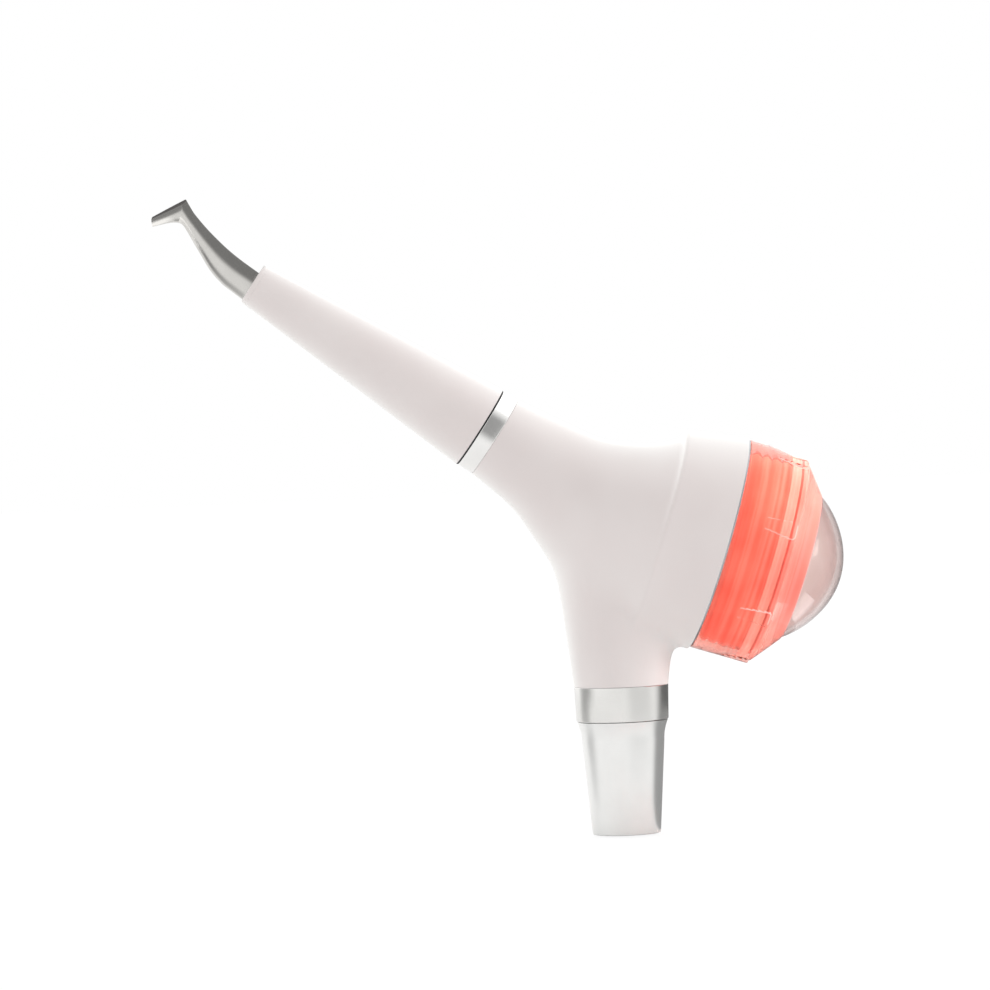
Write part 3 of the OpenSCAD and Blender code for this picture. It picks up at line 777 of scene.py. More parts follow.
@dataclass(frozen=True)
class CoatedFinish:
    """A satin sprayed coat or a moulded opaque plastic; a rim colour, when set, paints a sheen at its
    silhouette.
    """

    name: str
    colour: Colour
    second: Colour
    roughness: float = 0.42
    spread: float = 0.05
    relief: float = 0.02
    grain: float = 2500.0
    coat: float = 0.0
    coat_roughness: float = 0.25
    # rim: colour of the painted sheen at the silhouette, None for none.
    rim: Colour | None = None
    painted_rim_power: float = 2.0

    def build(self, groups: Groups) -> bpy.types.Material:
        """Makes the material.

        Args:
            groups: The shared shader groups.

        Returns:
            The material.
        """
        material, graph, surface = new_material(self.name)
        mottle = graph.group(groups.mottle, {
            "Color": (*self.colour, 1.0), "Second": (*self.second, 1.0),
            "Roughness": self.roughness, "Spread": self.spread})
        skin = graph.group(groups.skin, {"Scale": self.grain})
        colour = mottle.outputs["Color"]
        # Painted sheen: the colour turns to the rim colour where the surface slants away.
        if self.rim:
            colour = graph.paint_rim_shading(colour, self.rim, self.painted_rim_power)
        graph.feed(surface, {
            "Base Color": colour, "Roughness": mottle.outputs["Roughness"],
            "Normal": graph.relief(skin.outputs["Height"], self.relief, SKIN_DEPTH),
            "Coat Weight": self.coat, "Coat Roughness": self.coat_roughness})
        return material


@dataclass(frozen=True)
class MetalFinish:
    """A metal turned on a lathe about an arm's axis, or blasted where it has no lines."""

    name: str
    colour: Colour
    roughness: float
    axis: Sequence[float] = (0.0, 0.0, 1.0)
    lines: float = 6000.0
    depth: float = 0.06
    cloud: float = 0.05

    def build(self, groups: Groups) -> bpy.types.Material:
        """Makes the material.

        Args:
            groups: The shared shader groups.

        Returns:
            The material.
        """
        material, graph, surface = new_material(self.name)
        grain = graph.group(groups.turned, {"Axis": self.axis, "Lines": self.lines, "Cloud": self.cloud})
        tint = graph.add("ShaderNodeVectorMath", {0: self.colour, "Scale": grain.outputs["Tone"]},
                         operation="SCALE")
        gloss = graph.math("MULTIPLY", grain.outputs["Tone"], self.roughness)
        graph.feed(surface, {
            "Base Color": tint.outputs[0], "Roughness": gloss,
            "Normal": graph.relief(grain.outputs["Height"], self.depth, GROOVE_DEPTH), "Metallic": 1.0})
        return material


@dataclass(frozen=True)
class ClearFinish:
    """A clear tinted plastic, with faint flow marks from its mould, and painted light in its colour:
    painted bands of the thread's reflection and shade, and a painted rim.
    """

    name: str
    colour: Colour
    second: Colour
    # rim: colour painted at the silhouette, painted light where it is lighter and painted shade where it is
    # darker; also the colour of the painted bands.
    rim: Colour
    roughness: float = 0.04
    ior: float = 1.49
    clear: float = 1.0
    coat: float = 0.0
    painted_rim_power: float = 3.0
    spread: float = 0.02
    flow_scale: float = 90.0
    relief: float = 0.01
    grain: float = 500.0
    axis: Sequence[float] = (0.0, 0.0, 1.0)
    # Share of the painted bands: lighter stripes of the thread's reflection and shade, across the axis.
    painted_bands: float = 0.0
    painted_band_lines: float = 700.0

    def build(self, groups: Groups) -> bpy.types.Material:
        """Makes the material.

        Args:
            groups: The shared shader groups.

        Returns:
            The material.
        """
        material, graph, surface = new_material(self.name)
        mottle = graph.group(groups.mottle, {
            "Color": (*self.colour, 1.0), "Second": (*self.second, 1.0),
            "Roughness": self.roughness, "Spread": self.spread, "Scale": self.flow_scale})
        skin = graph.group(groups.skin, {"Scale": self.grain})
        grain = graph.group(groups.turned, {"Axis": self.axis, "Lines": self.painted_band_lines})
        # Painted bands of the thread's reflection and shade, then the painted rim.
        share = graph.ramp(grain.outputs["Height"], *PAINTED_BAND_RANGE, 0.0, self.painted_bands)
        painted_banded = graph.blend(share, mottle.outputs["Color"], (*self.rim, 1.0))
        graph.feed(surface, {
            "Base Color": graph.paint_rim_shading(painted_banded, self.rim, self.painted_rim_power),
            "Roughness": mottle.outputs["Roughness"],
            "Normal": graph.relief(skin.outputs["Height"], self.relief, SKIN_DEPTH),
            "Transmission Weight": self.clear, "Coat Weight": self.coat, "IOR": self.ior})
        return material


# ------------------------------------------------------------------ body


@dataclass
class BodyShell:
    """The three-armed coated housing, one smooth skin from ring to ring, in mm."""

    axes: dict[Arm, Axis]
    material: bpy.types.Material
    stem_slope: float = 0.110
    nose_slope: float = 0.122
    flare_over: float = 0.25
    flare_slope: float = 0.52
    flare_drop: float = 2.45
    flare_back: float = 30.0
    flare_round: float = 19.6
    dive_drop: float = 0.035
    dive_slope: float = 0.06
    blend_arms: float = 1.0
    blend_bowl: float = 1.6
    collar_start: float = 10.9
    collar_slope: float = 0.153
    collar_fillet: float = 1.3
    collar_edge: float = 0.7
    socket_flange: float = 2.9
    clearance: float = 0.05
    overrun: float = 2.0
    cell: float = 0.62
    sharp: float = 40.0
    rod_sides: int = 96
    cup_sides: int = 160
    search_low: tuple[float, float] = (-37.0, -28.0)
    search_high: tuple[float, float, float] = (38.0, 28.0, 108.0)
    nose_end: float = field(init=False)
    stem_end: float = field(init=False)
    collar_end: float = field(init=False)
    collar_top_r: float = field(init=False)
    nose_ring_r: float = field(init=False)
    stem_ring_r: float = field(init=False)

    def __post_init__(self) -> None:
        """Reads from the frame where the rings meet the shell."""
        nose_ring = self.axes[Arm.NOSE].span("nose_ring")
        stem_ring = self.axes[Arm.COUPLING].span("coupling_ring")
        trim_ring = self.axes[Arm.CHAMBER].span("trim_ring")
        self.nose_end, self.nose_ring_r = nose_ring.low, nose_ring.outer
        self.stem_end, self.stem_ring_r = stem_ring.high, stem_ring.outer
        self.collar_end, self.collar_top_r = trim_ring.low, trim_ring.outer

    @staticmethod
    def _blend(first: np.ndarray, second: np.ndarray, width: float) -> np.ndarray:
        """Joins two distances with an exponential blend of that width."""
        low = np.minimum(first, second)
        return low - width * np.log(np.exp((low - first) / width) + np.exp((low - second) / width))

    @staticmethod
    def _fillet(first: np.ndarray, second: np.ndarray, width: float) -> np.ndarray:
        """Joins two distances with a fillet that ends where they differ by that width."""
        gap = np.maximum(width - np.abs(first - second), 0) / width
        return np.minimum(first, second) - gap * gap * width / 4

    def _arm(self, points: Points, arm: Arm, end: float, end_r: float, slope: float) -> np.ndarray:
        """Signed distance to a tapering round arm.

        Args:
            points: Points in the part's frame.
            arm: The arm.
            end: Station of its end, from the hub.
            end_r: Radius there.
            slope: Growth of the radius towards the hub.

        Returns:
            The distances.
        """
        axis = self.axes[arm]
        along = axis.along if arm is Arm.NOSE else -axis.along
        rise = points - self.axes[Arm.NOSE].hub
        station = np.maximum(rise @ along, 0)
        away = np.linalg.norm(rise - station[:, None] * along, axis=1)
        return away - end_r - slope * (end - station)

    def _bowl(self, points: Points) -> np.ndarray:
        """Signed distance to the flared bowl behind the collar.

        Args:
            points: Points in the part's frame.

        Returns:
            The distances.
        """
        local = self.axes[Arm.CHAMBER].local(points)
        station = local[:, 2]
        behind = np.minimum(station - self.collar_start, 0)
        beyond = np.maximum(station - self.collar_start, 0)
        rise = -local[:, 0] + self.flare_drop + self.dive_drop * beyond
        radius = np.hypot(rise, local[:, 1])
        wall = self.collar_low_r + self.flare_over + self.flare_slope * behind - self.dive_slope * beyond
        back = self.flare_round - self.flare_back - station
        side = self.flare_round + (radius - wall) / math.hypot(1, self.flare_slope)
        corner = np.hypot(np.maximum(back, 0), np.maximum(side, 0))
        return corner + np.minimum(np.maximum(back, side), 0) - self.flare_round

    @property
    def collar_low_r(self) -> float:
        """Radius of the collar at its edge."""
        return self.collar_top_r - self.collar_slope * (self.collar_end - self.collar_start)

    def _collar(self, points: Points) -> np.ndarray:
        """Signed distance to the collar, open towards the cap.

        Args:
            points: Points in the part's frame.

        Returns:
            The distances.
        """
        local = self.axes[Arm.CHAMBER].local(points)
        edge = self.collar_start - local[:, 2]
        radius = np.hypot(local[:, 0], local[:, 1])
        wall = radius - self.collar_low_r + self.collar_slope * edge
        return -self._fillet(-edge, -wall, self.collar_edge)

    def skin(self, points: Points) -> np.ndarray:
        """Signed distance to the whole skin.

        Args:
            points: Points in the part's frame, in mm.

        Returns:
            The distances, negative inside.
        """
        hub_height = self.axes[Arm.NOSE].hub[2]
        nose = self._arm(points, Arm.NOSE, self.nose_end, self.nose_ring_r, self.nose_slope)
        stem = self._arm(points, Arm.COUPLING, hub_height - self.stem_end, self.stem_ring_r,
                         self.stem_slope)
        arms = self._blend(nose, stem, self.blend_arms)
        flared = self._blend(arms, self._bowl(points), self.blend_bowl)
        return self._fillet(flared, self._collar(points), self.collar_fillet)

    def build(self) -> bpy.types.Object:
        """Meshes the skin, cuts its three ends and hollows it for what it holds.

        Returns:
            The shell.
        """
        low = np.array([*self.search_low, self.stem_end - self.overrun])
        points, faces = surface_net(self.skin, low, np.array(self.search_high), self.cell)
        points = settle(self.skin, points)
        nose, chamber, coupling = (self.axes[a] for a in (Arm.NOSE, Arm.CHAMBER, Arm.COUPLING))
        points, faces = trim(points, faces, [
            (np.array([0, 0, self.stem_end]), np.array([0, 0, -1.0])),
            (nose.place(np.array([0, 0, self.nose_end])), nose.along),
            (chamber.place(np.array([0, 0, self.collar_end])), chamber.along),
        ])
        shell = make_piece("housing_shell", points, faces)
        sockets = [self._rod(nose, "nose_socket", self.nose_end),
                   self._rod(coupling, "coupling_socket", self.stem_end)]
        carve(shell, [*sockets, self._cup_tool()], self.sharp)
        adopt(shell, "housing", "body_white", self.material, "body_shell")
        return shell

    def _rod(self, axis: Axis, node: str, end: float) -> bpy.types.Object:
        """A round tool that clears a socket and runs out of the shell at its end.

        Args:
            axis: The arm's axis.
            node: The socket's name.
            end: Station where the shell ends.

        Returns:
            The tool.
        """
        span = axis.span(node)
        outward = axis is self.axes[Arm.NOSE]
        inner_end = span.low if outward else span.high
        outer_end = end + (self.overrun if outward else -self.overrun)
        radius = self._socket_radius(axis, node, end)
        outline = np.array([[0, inner_end], [radius, inner_end], [radius, outer_end], [0, outer_end]])
        return turn_outline(f"{node}_tool", axis, outline, self.rod_sides)

    def _socket_radius(self, axis: Axis, node: str, end: float) -> float:
        """Radius of a socket where it runs inside the shell, with its clearance.

        Args:
            axis: The arm's axis.
            node: The socket's name.
            end: Station where the shell ends.

        Returns:
            The radius.
        """
        local = axis.local(node_points(node))
        inner = np.abs(local[:, 2] - end) > self.socket_flange
        return float(np.hypot(local[inner, 0], local[inner, 1]).max()) + self.clearance

    def _cup_tool(self) -> bpy.types.Object:
        """Makes a tool of the cup's outside that runs out of the collar's open end.

        Returns:
            The tool.
        """
        axis = self.axes[Arm.CHAMBER]
        outline = PowderCup.outside(axis, self.clearance, self.collar_end + self.overrun)
        rows = np.array([[0, outline[0][1]], *outline, [0, outline[-1][1]]])
        return turn_outline("cup_tool", axis, rows, self.cup_sides)


# ------------------------------------------------------------------ thread


@dataclass(frozen=True)
class Thread:
    """A rolled two-start thread that winds about the chamber's axis, in mm."""

    start: float
    end: float
    height: float
    lead: float = 4.8
    starts: int = 2
    phase: float = 0.0
    crest: float = 0.16
    flank: float = 0.85
    fade: float = 1.2

    def rise(self, angle: Points, station: Points) -> np.ndarray:
        """How far the thread stands out.

        Args:
            angle: Angles about the axis, in radians.
            station: Stations along the axis.

        Returns:
            The height of the ridge at each place.
        """
        pitch = self.lead / self.starts
        turn = (station - self.lead * angle / (2 * math.pi)) / pitch + self.phase
        off = np.abs(turn - np.round(turn)) * pitch
        ridge = soft_ends((self.crest + self.flank - off) / self.flank)
        ends = np.minimum(station - self.start, self.end - station) / self.fade
        return self.height * ridge * np.clip(ends, 0, 1)


# ------------------------------------------------------------------ chamber


@dataclass
class PowderCup:
    """The pale moulded cup with its rolled thread, in mm."""

    axis: Axis
    material: bpy.types.Material
    trim_material: bpy.types.Material
    bowl_step: float = 2.6
    bowl_corner: float = 10.4
    bowl_straight: float = 1.5
    neck_flare: float = 4.0
    wall: float = 1.8
    rim_rounding: float = 0.45
    hub_bore_r: float = 3.6
    thread_height: float = 0.2
    thread_step: float = 0.14
    thread_run: tuple[float, float] = (0.5, 0.9)
    arc_points: int = 25
    rim_points: int = 5
    sides: int = 480
    sharp: float = 50.0
    trim_sides: int = 320
    trim_fit: float = 0.06
    trim_inset: float = 0.02

    @classmethod
    def outside(cls, axis: Axis, clearance: float, top: float) -> list[list[float]]:
        """The cup's outline from its flat floor to a station.

        Args:
            axis: The chamber's axis.
            clearance: How far the outline is moved out.
            top: Station where it ends.

        Returns:
            Rows of [radius, station].
        """
        span = axis.span("chamber_cup")
        neck_r = span.outer
        bowl_r = neck_r - cls.bowl_step
        corner = cls.bowl_corner
        arc = [[bowl_r - corner + (corner + clearance) * math.sin(a),
                span.low + corner - (corner + clearance) * math.cos(a)]
               for a in np.linspace(0, math.pi / 2, cls.arc_points)]
        straight = span.low + corner + cls.bowl_straight
        return [*arc, [bowl_r + clearance, straight],
                [neck_r + clearance, straight + cls.neck_flare], [neck_r + clearance, top]]

    def build(self) -> None:
        """Makes the cup and the metal ring round it."""
        span = self.axis.span("chamber_cup")
        ring = self.axis.span("trim_ring")
        outline = self._outline(span)
        before, after = self.thread_run
        thread = Thread(start=ring.high + before, end=span.high - after, height=self.thread_height)
        radius, station = spread(outline, self.sides)
        neck = np.isclose(outline[:, 0], span.outer)
        radius[neck] += thread.rise(angles_round(self.sides)[None, :], station[neck])
        cup = make_turned("powder_cup", self.axis, radius, station, sharp=self.sharp)
        adopt(cup, "housing", "cup_plastic", self.material, "chamber_cup")
        self._trim_ring(ring, span.outer)

    def _outline(self, span: Span) -> Points:
        """The cup's closed outline, its threaded neck in many short steps.

        Args:
            span: The cup's extent.

        Returns:
            Rows of [radius, station].
        """
        top = span.high
        rise = self.rim_rounding
        outside = self.outside(self.axis, 0.0, top - rise)
        neck = [[span.outer, t] for t in np.arange(outside[-2][1], top - rise, self.thread_step)]
        quarter = np.linspace(0, math.pi / 2, self.rim_points)
        rim = [[span.outer - rise + rise * math.cos(a), top - rise + rise * math.sin(a)] for a in quarter]
        lip = [[span.outer - self.wall + rise - rise * math.sin(a), top - rise + rise * math.cos(a)]
               for a in quarter]
        inside = [[r - self.wall, t] for r, t in reversed(outside[self.arc_points:-1])]
        flat = self.bowl_corner
        bowl_r = span.outer - self.bowl_step
        arc = [[bowl_r - flat + (flat - self.wall) * math.sin(a),
                span.low + flat - (flat - self.wall) * math.cos(a)]
               for a in np.linspace(math.pi / 2, 0, self.arc_points)]
        hub = [[self.hub_bore_r, span.low + self.wall], [self.hub_bore_r, span.low]]
        return np.array([*outside[:-2], *neck, *rim, *lip, *inside, *arc, *hub])

    def _trim_ring(self, ring: Span, neck_r: float) -> None:
        """Makes the thin metal ring at the collar's open end.

        Args:
            ring: The ring's extent.
            neck_r: Radius of the cup's neck in it.
        """
        inner_r, outer_r = neck_r + self.trim_fit, ring.outer - self.trim_inset
        outline = rounded([Corner(inner_r, ring.low), Corner(outer_r, ring.low, 0.05),
                           Corner(outer_r, ring.high, 0.16), Corner(inner_r, ring.high)])
        piece = turn_outline("collar_trim", self.axis, outline, self.trim_sides)
        adopt(piece, "housing", "steel_satin", self.trim_material, "trim_ring")


# ------------------------------------------------------------------ cap


@dataclass
class ScrewCap:
    """The clear red screw ring with its grip lugs, and the smoky dome in it, in mm."""

    axis: Axis
    red: bpy.types.Material
    # pale: lighter copy of the red, painted light on the shoulder and on the dome's flange.
    pale: bpy.types.Material
    # edge: near-white copy of the red, painted highlight on the lug flanks and painted light on a band of
    # the bore.
    edge: bpy.types.Material
    dome: bpy.types.Material
    taper_start: float = 4.9
    taper_end: float = 12.6
    grip_step: float = 0.8
    shoulder_h: float = 5.4
    shoulder_r: float = 18.5
    wall: float = 2.35
    lug_count: int = 7
    lug_half_low: float = 1.15
    lug_half_high: float = 2.2
    lug_turn: float = 252.5
    lug_lift: float = 0.04
    lug_corner: float = 0.8
    lug_gap: float = 0.4
    lug_flank: float = 0.24
    lug_track_r: float = 25.4
    ledge: float = 1.45
    foot_rounding: float = 0.3
    band_step: float = 0.5
    grip_rows: float = 0.12
    ledge_chamfer: float = 1.7
    mouth_chamfer: float = 0.35
    thread_step: float = 0.14
    thread_height: float = 0.16
    thread_run: tuple[float, float] = (0.4, 0.6)
    sides: int = 1008
    ring_sharp: float = 38.0
    # Shoulder faces this far inside the grip take the painted light.
    painted_light_from: float = 1.2
    # Lug flanks in this share of the mask that stand out far enough take the painted highlight.
    painted_highlight_share: tuple[float, float] = (0.03, 0.97)
    painted_highlight_gain: float = 0.08
    crown_fall: float = 1.7
    dome_gap: float = 0.6
    dome_wall: float = 1.5
    flange_t: float = 1.4
    crown_steps: int = 48
    dome_sides: int = 320
    dome_sharp: float = 40.0
    # Stations of a band of the bore that takes the near-white red: painted light.
    painted_light_band: tuple[float, float] = (37.4, 39.7)

    def build(self) -> None:
        """Makes the screw ring and the dome."""
        ring, dome = self.axis.span("cap_ring"), self.axis.span("dome")
        self._screw_ring(ring, dome.low + self.ledge)
        self._dome(dome, ring.high)

    def _screw_ring(self, ring: Span, under: float) -> None:
        """Makes the ring as one skin, lugs and inner thread drawn into it, with painted light on its
        shoulder, its lug flanks and a band of its bore.

        Args:
            ring: The ring's extent.
            under: Station of the ledge that presses on the dome's flange.
        """
        shoulder = ring.high - self.shoulder_h
        start, full = ring.low + self.taper_start, ring.low + self.taper_end
        outer_r, bore_r = ring.outer, ring.outer - self.wall
        low_r = outer_r - self.grip_step
        foot = self.foot_rounding
        band = [[outer_r - foot, ring.low], [outer_r - 0.3 * foot, ring.low + 0.3 * foot],
                [outer_r, ring.low + foot]]
        band += [[outer_r, t] for t in np.arange(ring.low + foot + self.band_step, start, self.band_step)]
        grip = [[outer_r - self.grip_step * soft_ends((t - start) / (full - start)), t]
                for t in np.arange(start, shoulder - 0.3, self.grip_rows)]
        edge = rounded([Corner(low_r, shoulder - 2), Corner(low_r, shoulder, 0.35),
                        Corner(self.shoulder_r, ring.high, 0.5),
                        Corner(ring.inner, ring.high, 0.12),
                        Corner(ring.inner, under + self.ledge_chamfer, 0.3),
                        Corner(ring.inner + self.ledge_chamfer, under, 0.3),
                        Corner(bore_r, under, 0.3), Corner(bore_r, under - 1)], steps=6)[1:-1]
        mouth = self.mouth_chamfer
        bore = [[bore_r, t] for t in np.arange(under - 1, ring.low + mouth, -self.thread_step)]
        lip = [[bore_r + 0.1, ring.low + 0.1], [bore_r + mouth, ring.low]]
        outline = np.array([*band, *grip, *edge, *bore, *lip])
        angles = angles_round(self.sides)
        radius, station = spread(outline, self.sides)
        first, last = len(band), len(band) + len(grip)
        lugs = self._lugs(angles, station[first:last], start, shoulder)
        gain = np.maximum(outer_r - self.lug_lift - radius[first:last], 0)
        radius[first:last] += gain * lugs
        inner = slice(last + len(edge), last + len(edge) + len(bore))
        before, after = self.thread_run
        thread = Thread(start=ring.low + before, end=under - after, height=self.thread_height, phase=0.5)
        radius[inner] -= thread.rise(angles[None, :], station[inner])
        piece = make_turned("screw_ring", self.axis, radius, station, sharp=self.ring_sharp)
        adopt(piece, "cap", "cap_red", self.red, "cap_ring")
        piece.data.materials.append(self.pale)
        piece.data.materials.append(self.edge)
        finish = np.zeros(radius.shape, np.int32)
        # Painted light: the shoulder's faces take the lighter copy of the red.
        top = slice(last + 1, last + len(edge))
        finish[top] = outline[top, :1] < low_r - self.painted_light_from
        # Painted highlight: the lugs' flanks take the near-white copy of the red.
        least, most = self.painted_highlight_share
        flank = (lugs > least) & (lugs < most) & (gain > self.painted_highlight_gain)
        finish[first:last][flank] = 2
        # Painted light: a band of the bore takes the near-white copy of the red.
        light_band_low, light_band_high = self.painted_light_band
        finish[inner] = np.where((station[inner] > light_band_low) & (station[inner] < light_band_high), 2, 0)
        piece.data.polygons.foreach_set("material_index", finish.ravel())

    def _lugs(self, angles: Points, station: Points, start: float, shoulder: float) -> np.ndarray:
        """Mask of the raised lugs: wedges that widen towards their rounded end.

        Args:
            angles: Angles of the columns, in radians.
            station: Stations of the grid.
            start: Station where the taper begins.
            shoulder: Station where the grip band ends.

        Returns:
            One on a lug and zero between, with a narrow flank.
        """
        pitch = 2 * math.pi / self.lug_count
        offset = (angles - math.radians(self.lug_turn) + pitch / 2) % pitch - pitch / 2
        share = (station - start) / (shoulder - start)
        half_width = self.lug_half_low + (self.lug_half_high - self.lug_half_low) * share
        corner, end = self.lug_corner, shoulder - self.lug_gap
        dx = np.abs(offset * self.lug_track_r)[None, :] - (half_width - corner)
        dy = station - (end - corner)
        outside = np.hypot(np.maximum(dx, 0), np.maximum(dy, 0))
        distance = outside + np.minimum(np.maximum(dx, dy), 0) - corner
        return soft_ends(0.5 - distance / self.lug_flank)

    def _dome(self, span: Span, foot: float) -> None:
        """Makes the smoky dome with its flange; the flange takes the lighter red, painted light.

        Args:
            span: The dome's extent.
            foot: Station where the dome comes out of the ring.
        """
        neck_r = self.shoulder_r - self.dome_gap
        wall, flange_top = self.dome_wall, span.low + self.flange_t
        crown_h = span.high - foot
        crown = [[neck_r * math.cos(a), foot + crown_h * math.sin(a) ** self.crown_fall]
                 for a in np.linspace(0, math.pi / 2, self.crown_steps)]
        hollow = [[(neck_r - wall) * math.cos(a), foot + (crown_h - wall) * math.sin(a) ** self.crown_fall]
                  for a in np.linspace(math.pi / 2, 0, self.crown_steps)]
        flange = rounded([
            Corner(neck_r - wall, span.low, 0.3), Corner(span.outer, span.low, 0.3),
            Corner(span.outer, flange_top, 0.3), Corner(neck_r, flange_top, 0.4),
            Corner(neck_r, foot), Corner(neck_r - wall, foot)], steps=4)[:-2]
        outline = np.array([*flange, *crown, *hollow])
        piece = turn_outline("dome_window", self.axis, outline, self.dome_sides, sharp=self.dome_sharp)
        adopt(piece, "lid", "dome_clear", self.dome, "dome")
        piece.data.materials.append(self.pale)
        # Painted light: faces under the ring's foot take the lighter copy of the red.
        centres = np.array([face.center for face in piece.data.polygons]) / MM
        below = self.axis.local(centres)[:, 2] < foot - 0.05
        piece.data.polygons.foreach_set("material_index", below.astype(np.int32))


# ------------------------------------------------------------------ coupling


@dataclass
class Coupling:
    """The hose coupling: tapered sleeve and swivel ring, in mm."""

    axis: Axis
    sleeve: bpy.types.Material
    ring: bpy.types.Material
    bore_r: float = 6.2
    bore_depth: float = 11.0
    counter_r: float = 7.4
    mouth_r: float = 8.2
    taper_end_r: float = 9.9
    flare_h: float = 4.8
    flare_points: int = 33
    nut_flange_r: float = 9.15
    nut_flange_h: float = 1.2
    flange_t: float = 1.2
    socket_lip: float = 1.1
    ring_taper: float = 0.25

    def build(self) -> None:
        """Makes the sleeve and the swivel ring."""
        span = self.axis.span("coupling_sleeve")
        flare = [Corner(self.taper_end_r + (span.outer - self.taper_end_r) * u * u,
                        span.high - self.flare_h * (1 - u)) for u in np.linspace(0, 1, self.flare_points)]
        seat = span.high - self.nut_flange_h
        outline = rounded([
            Corner(self.bore_r, 0, 0.35), Corner(self.mouth_r, 0, 0.35), *flare[:-2],
            Corner(span.outer, span.high, 0.12), Corner(self.nut_flange_r, span.high),
            Corner(self.nut_flange_r, seat), Corner(self.counter_r, seat),
            Corner(self.counter_r, self.bore_depth), Corner(self.bore_r, self.bore_depth)])
        sleeve = turn_outline("tapered_sleeve", self.axis, outline)
        adopt(sleeve, "coupling", "aluminium_turned", self.sleeve, "coupling_sleeve")
        self._swivel_ring(self.axis.span("coupling_ring"))

    def _swivel_ring(self, ring: Span) -> None:
        """Makes the swivel ring, a little wider at its upper edge.

        Args:
            ring: The ring's extent.
        """
        lip_r = ring.inner + self.socket_lip
        outline = rounded([
            Corner(ring.inner, ring.low + self.flange_t), Corner(lip_r, ring.low + self.flange_t),
            Corner(lip_r, ring.low), Corner(ring.outer - self.ring_taper, ring.low, 0.3),
            Corner(ring.outer, ring.high, 0.22), Corner(ring.inner, ring.high)])
        piece = turn_outline("swivel_ring", self.axis, outline)
        adopt(piece, "housing", "steel_satin", self.ring, "coupling_ring")


# ------------------------------------------------------------------ nose


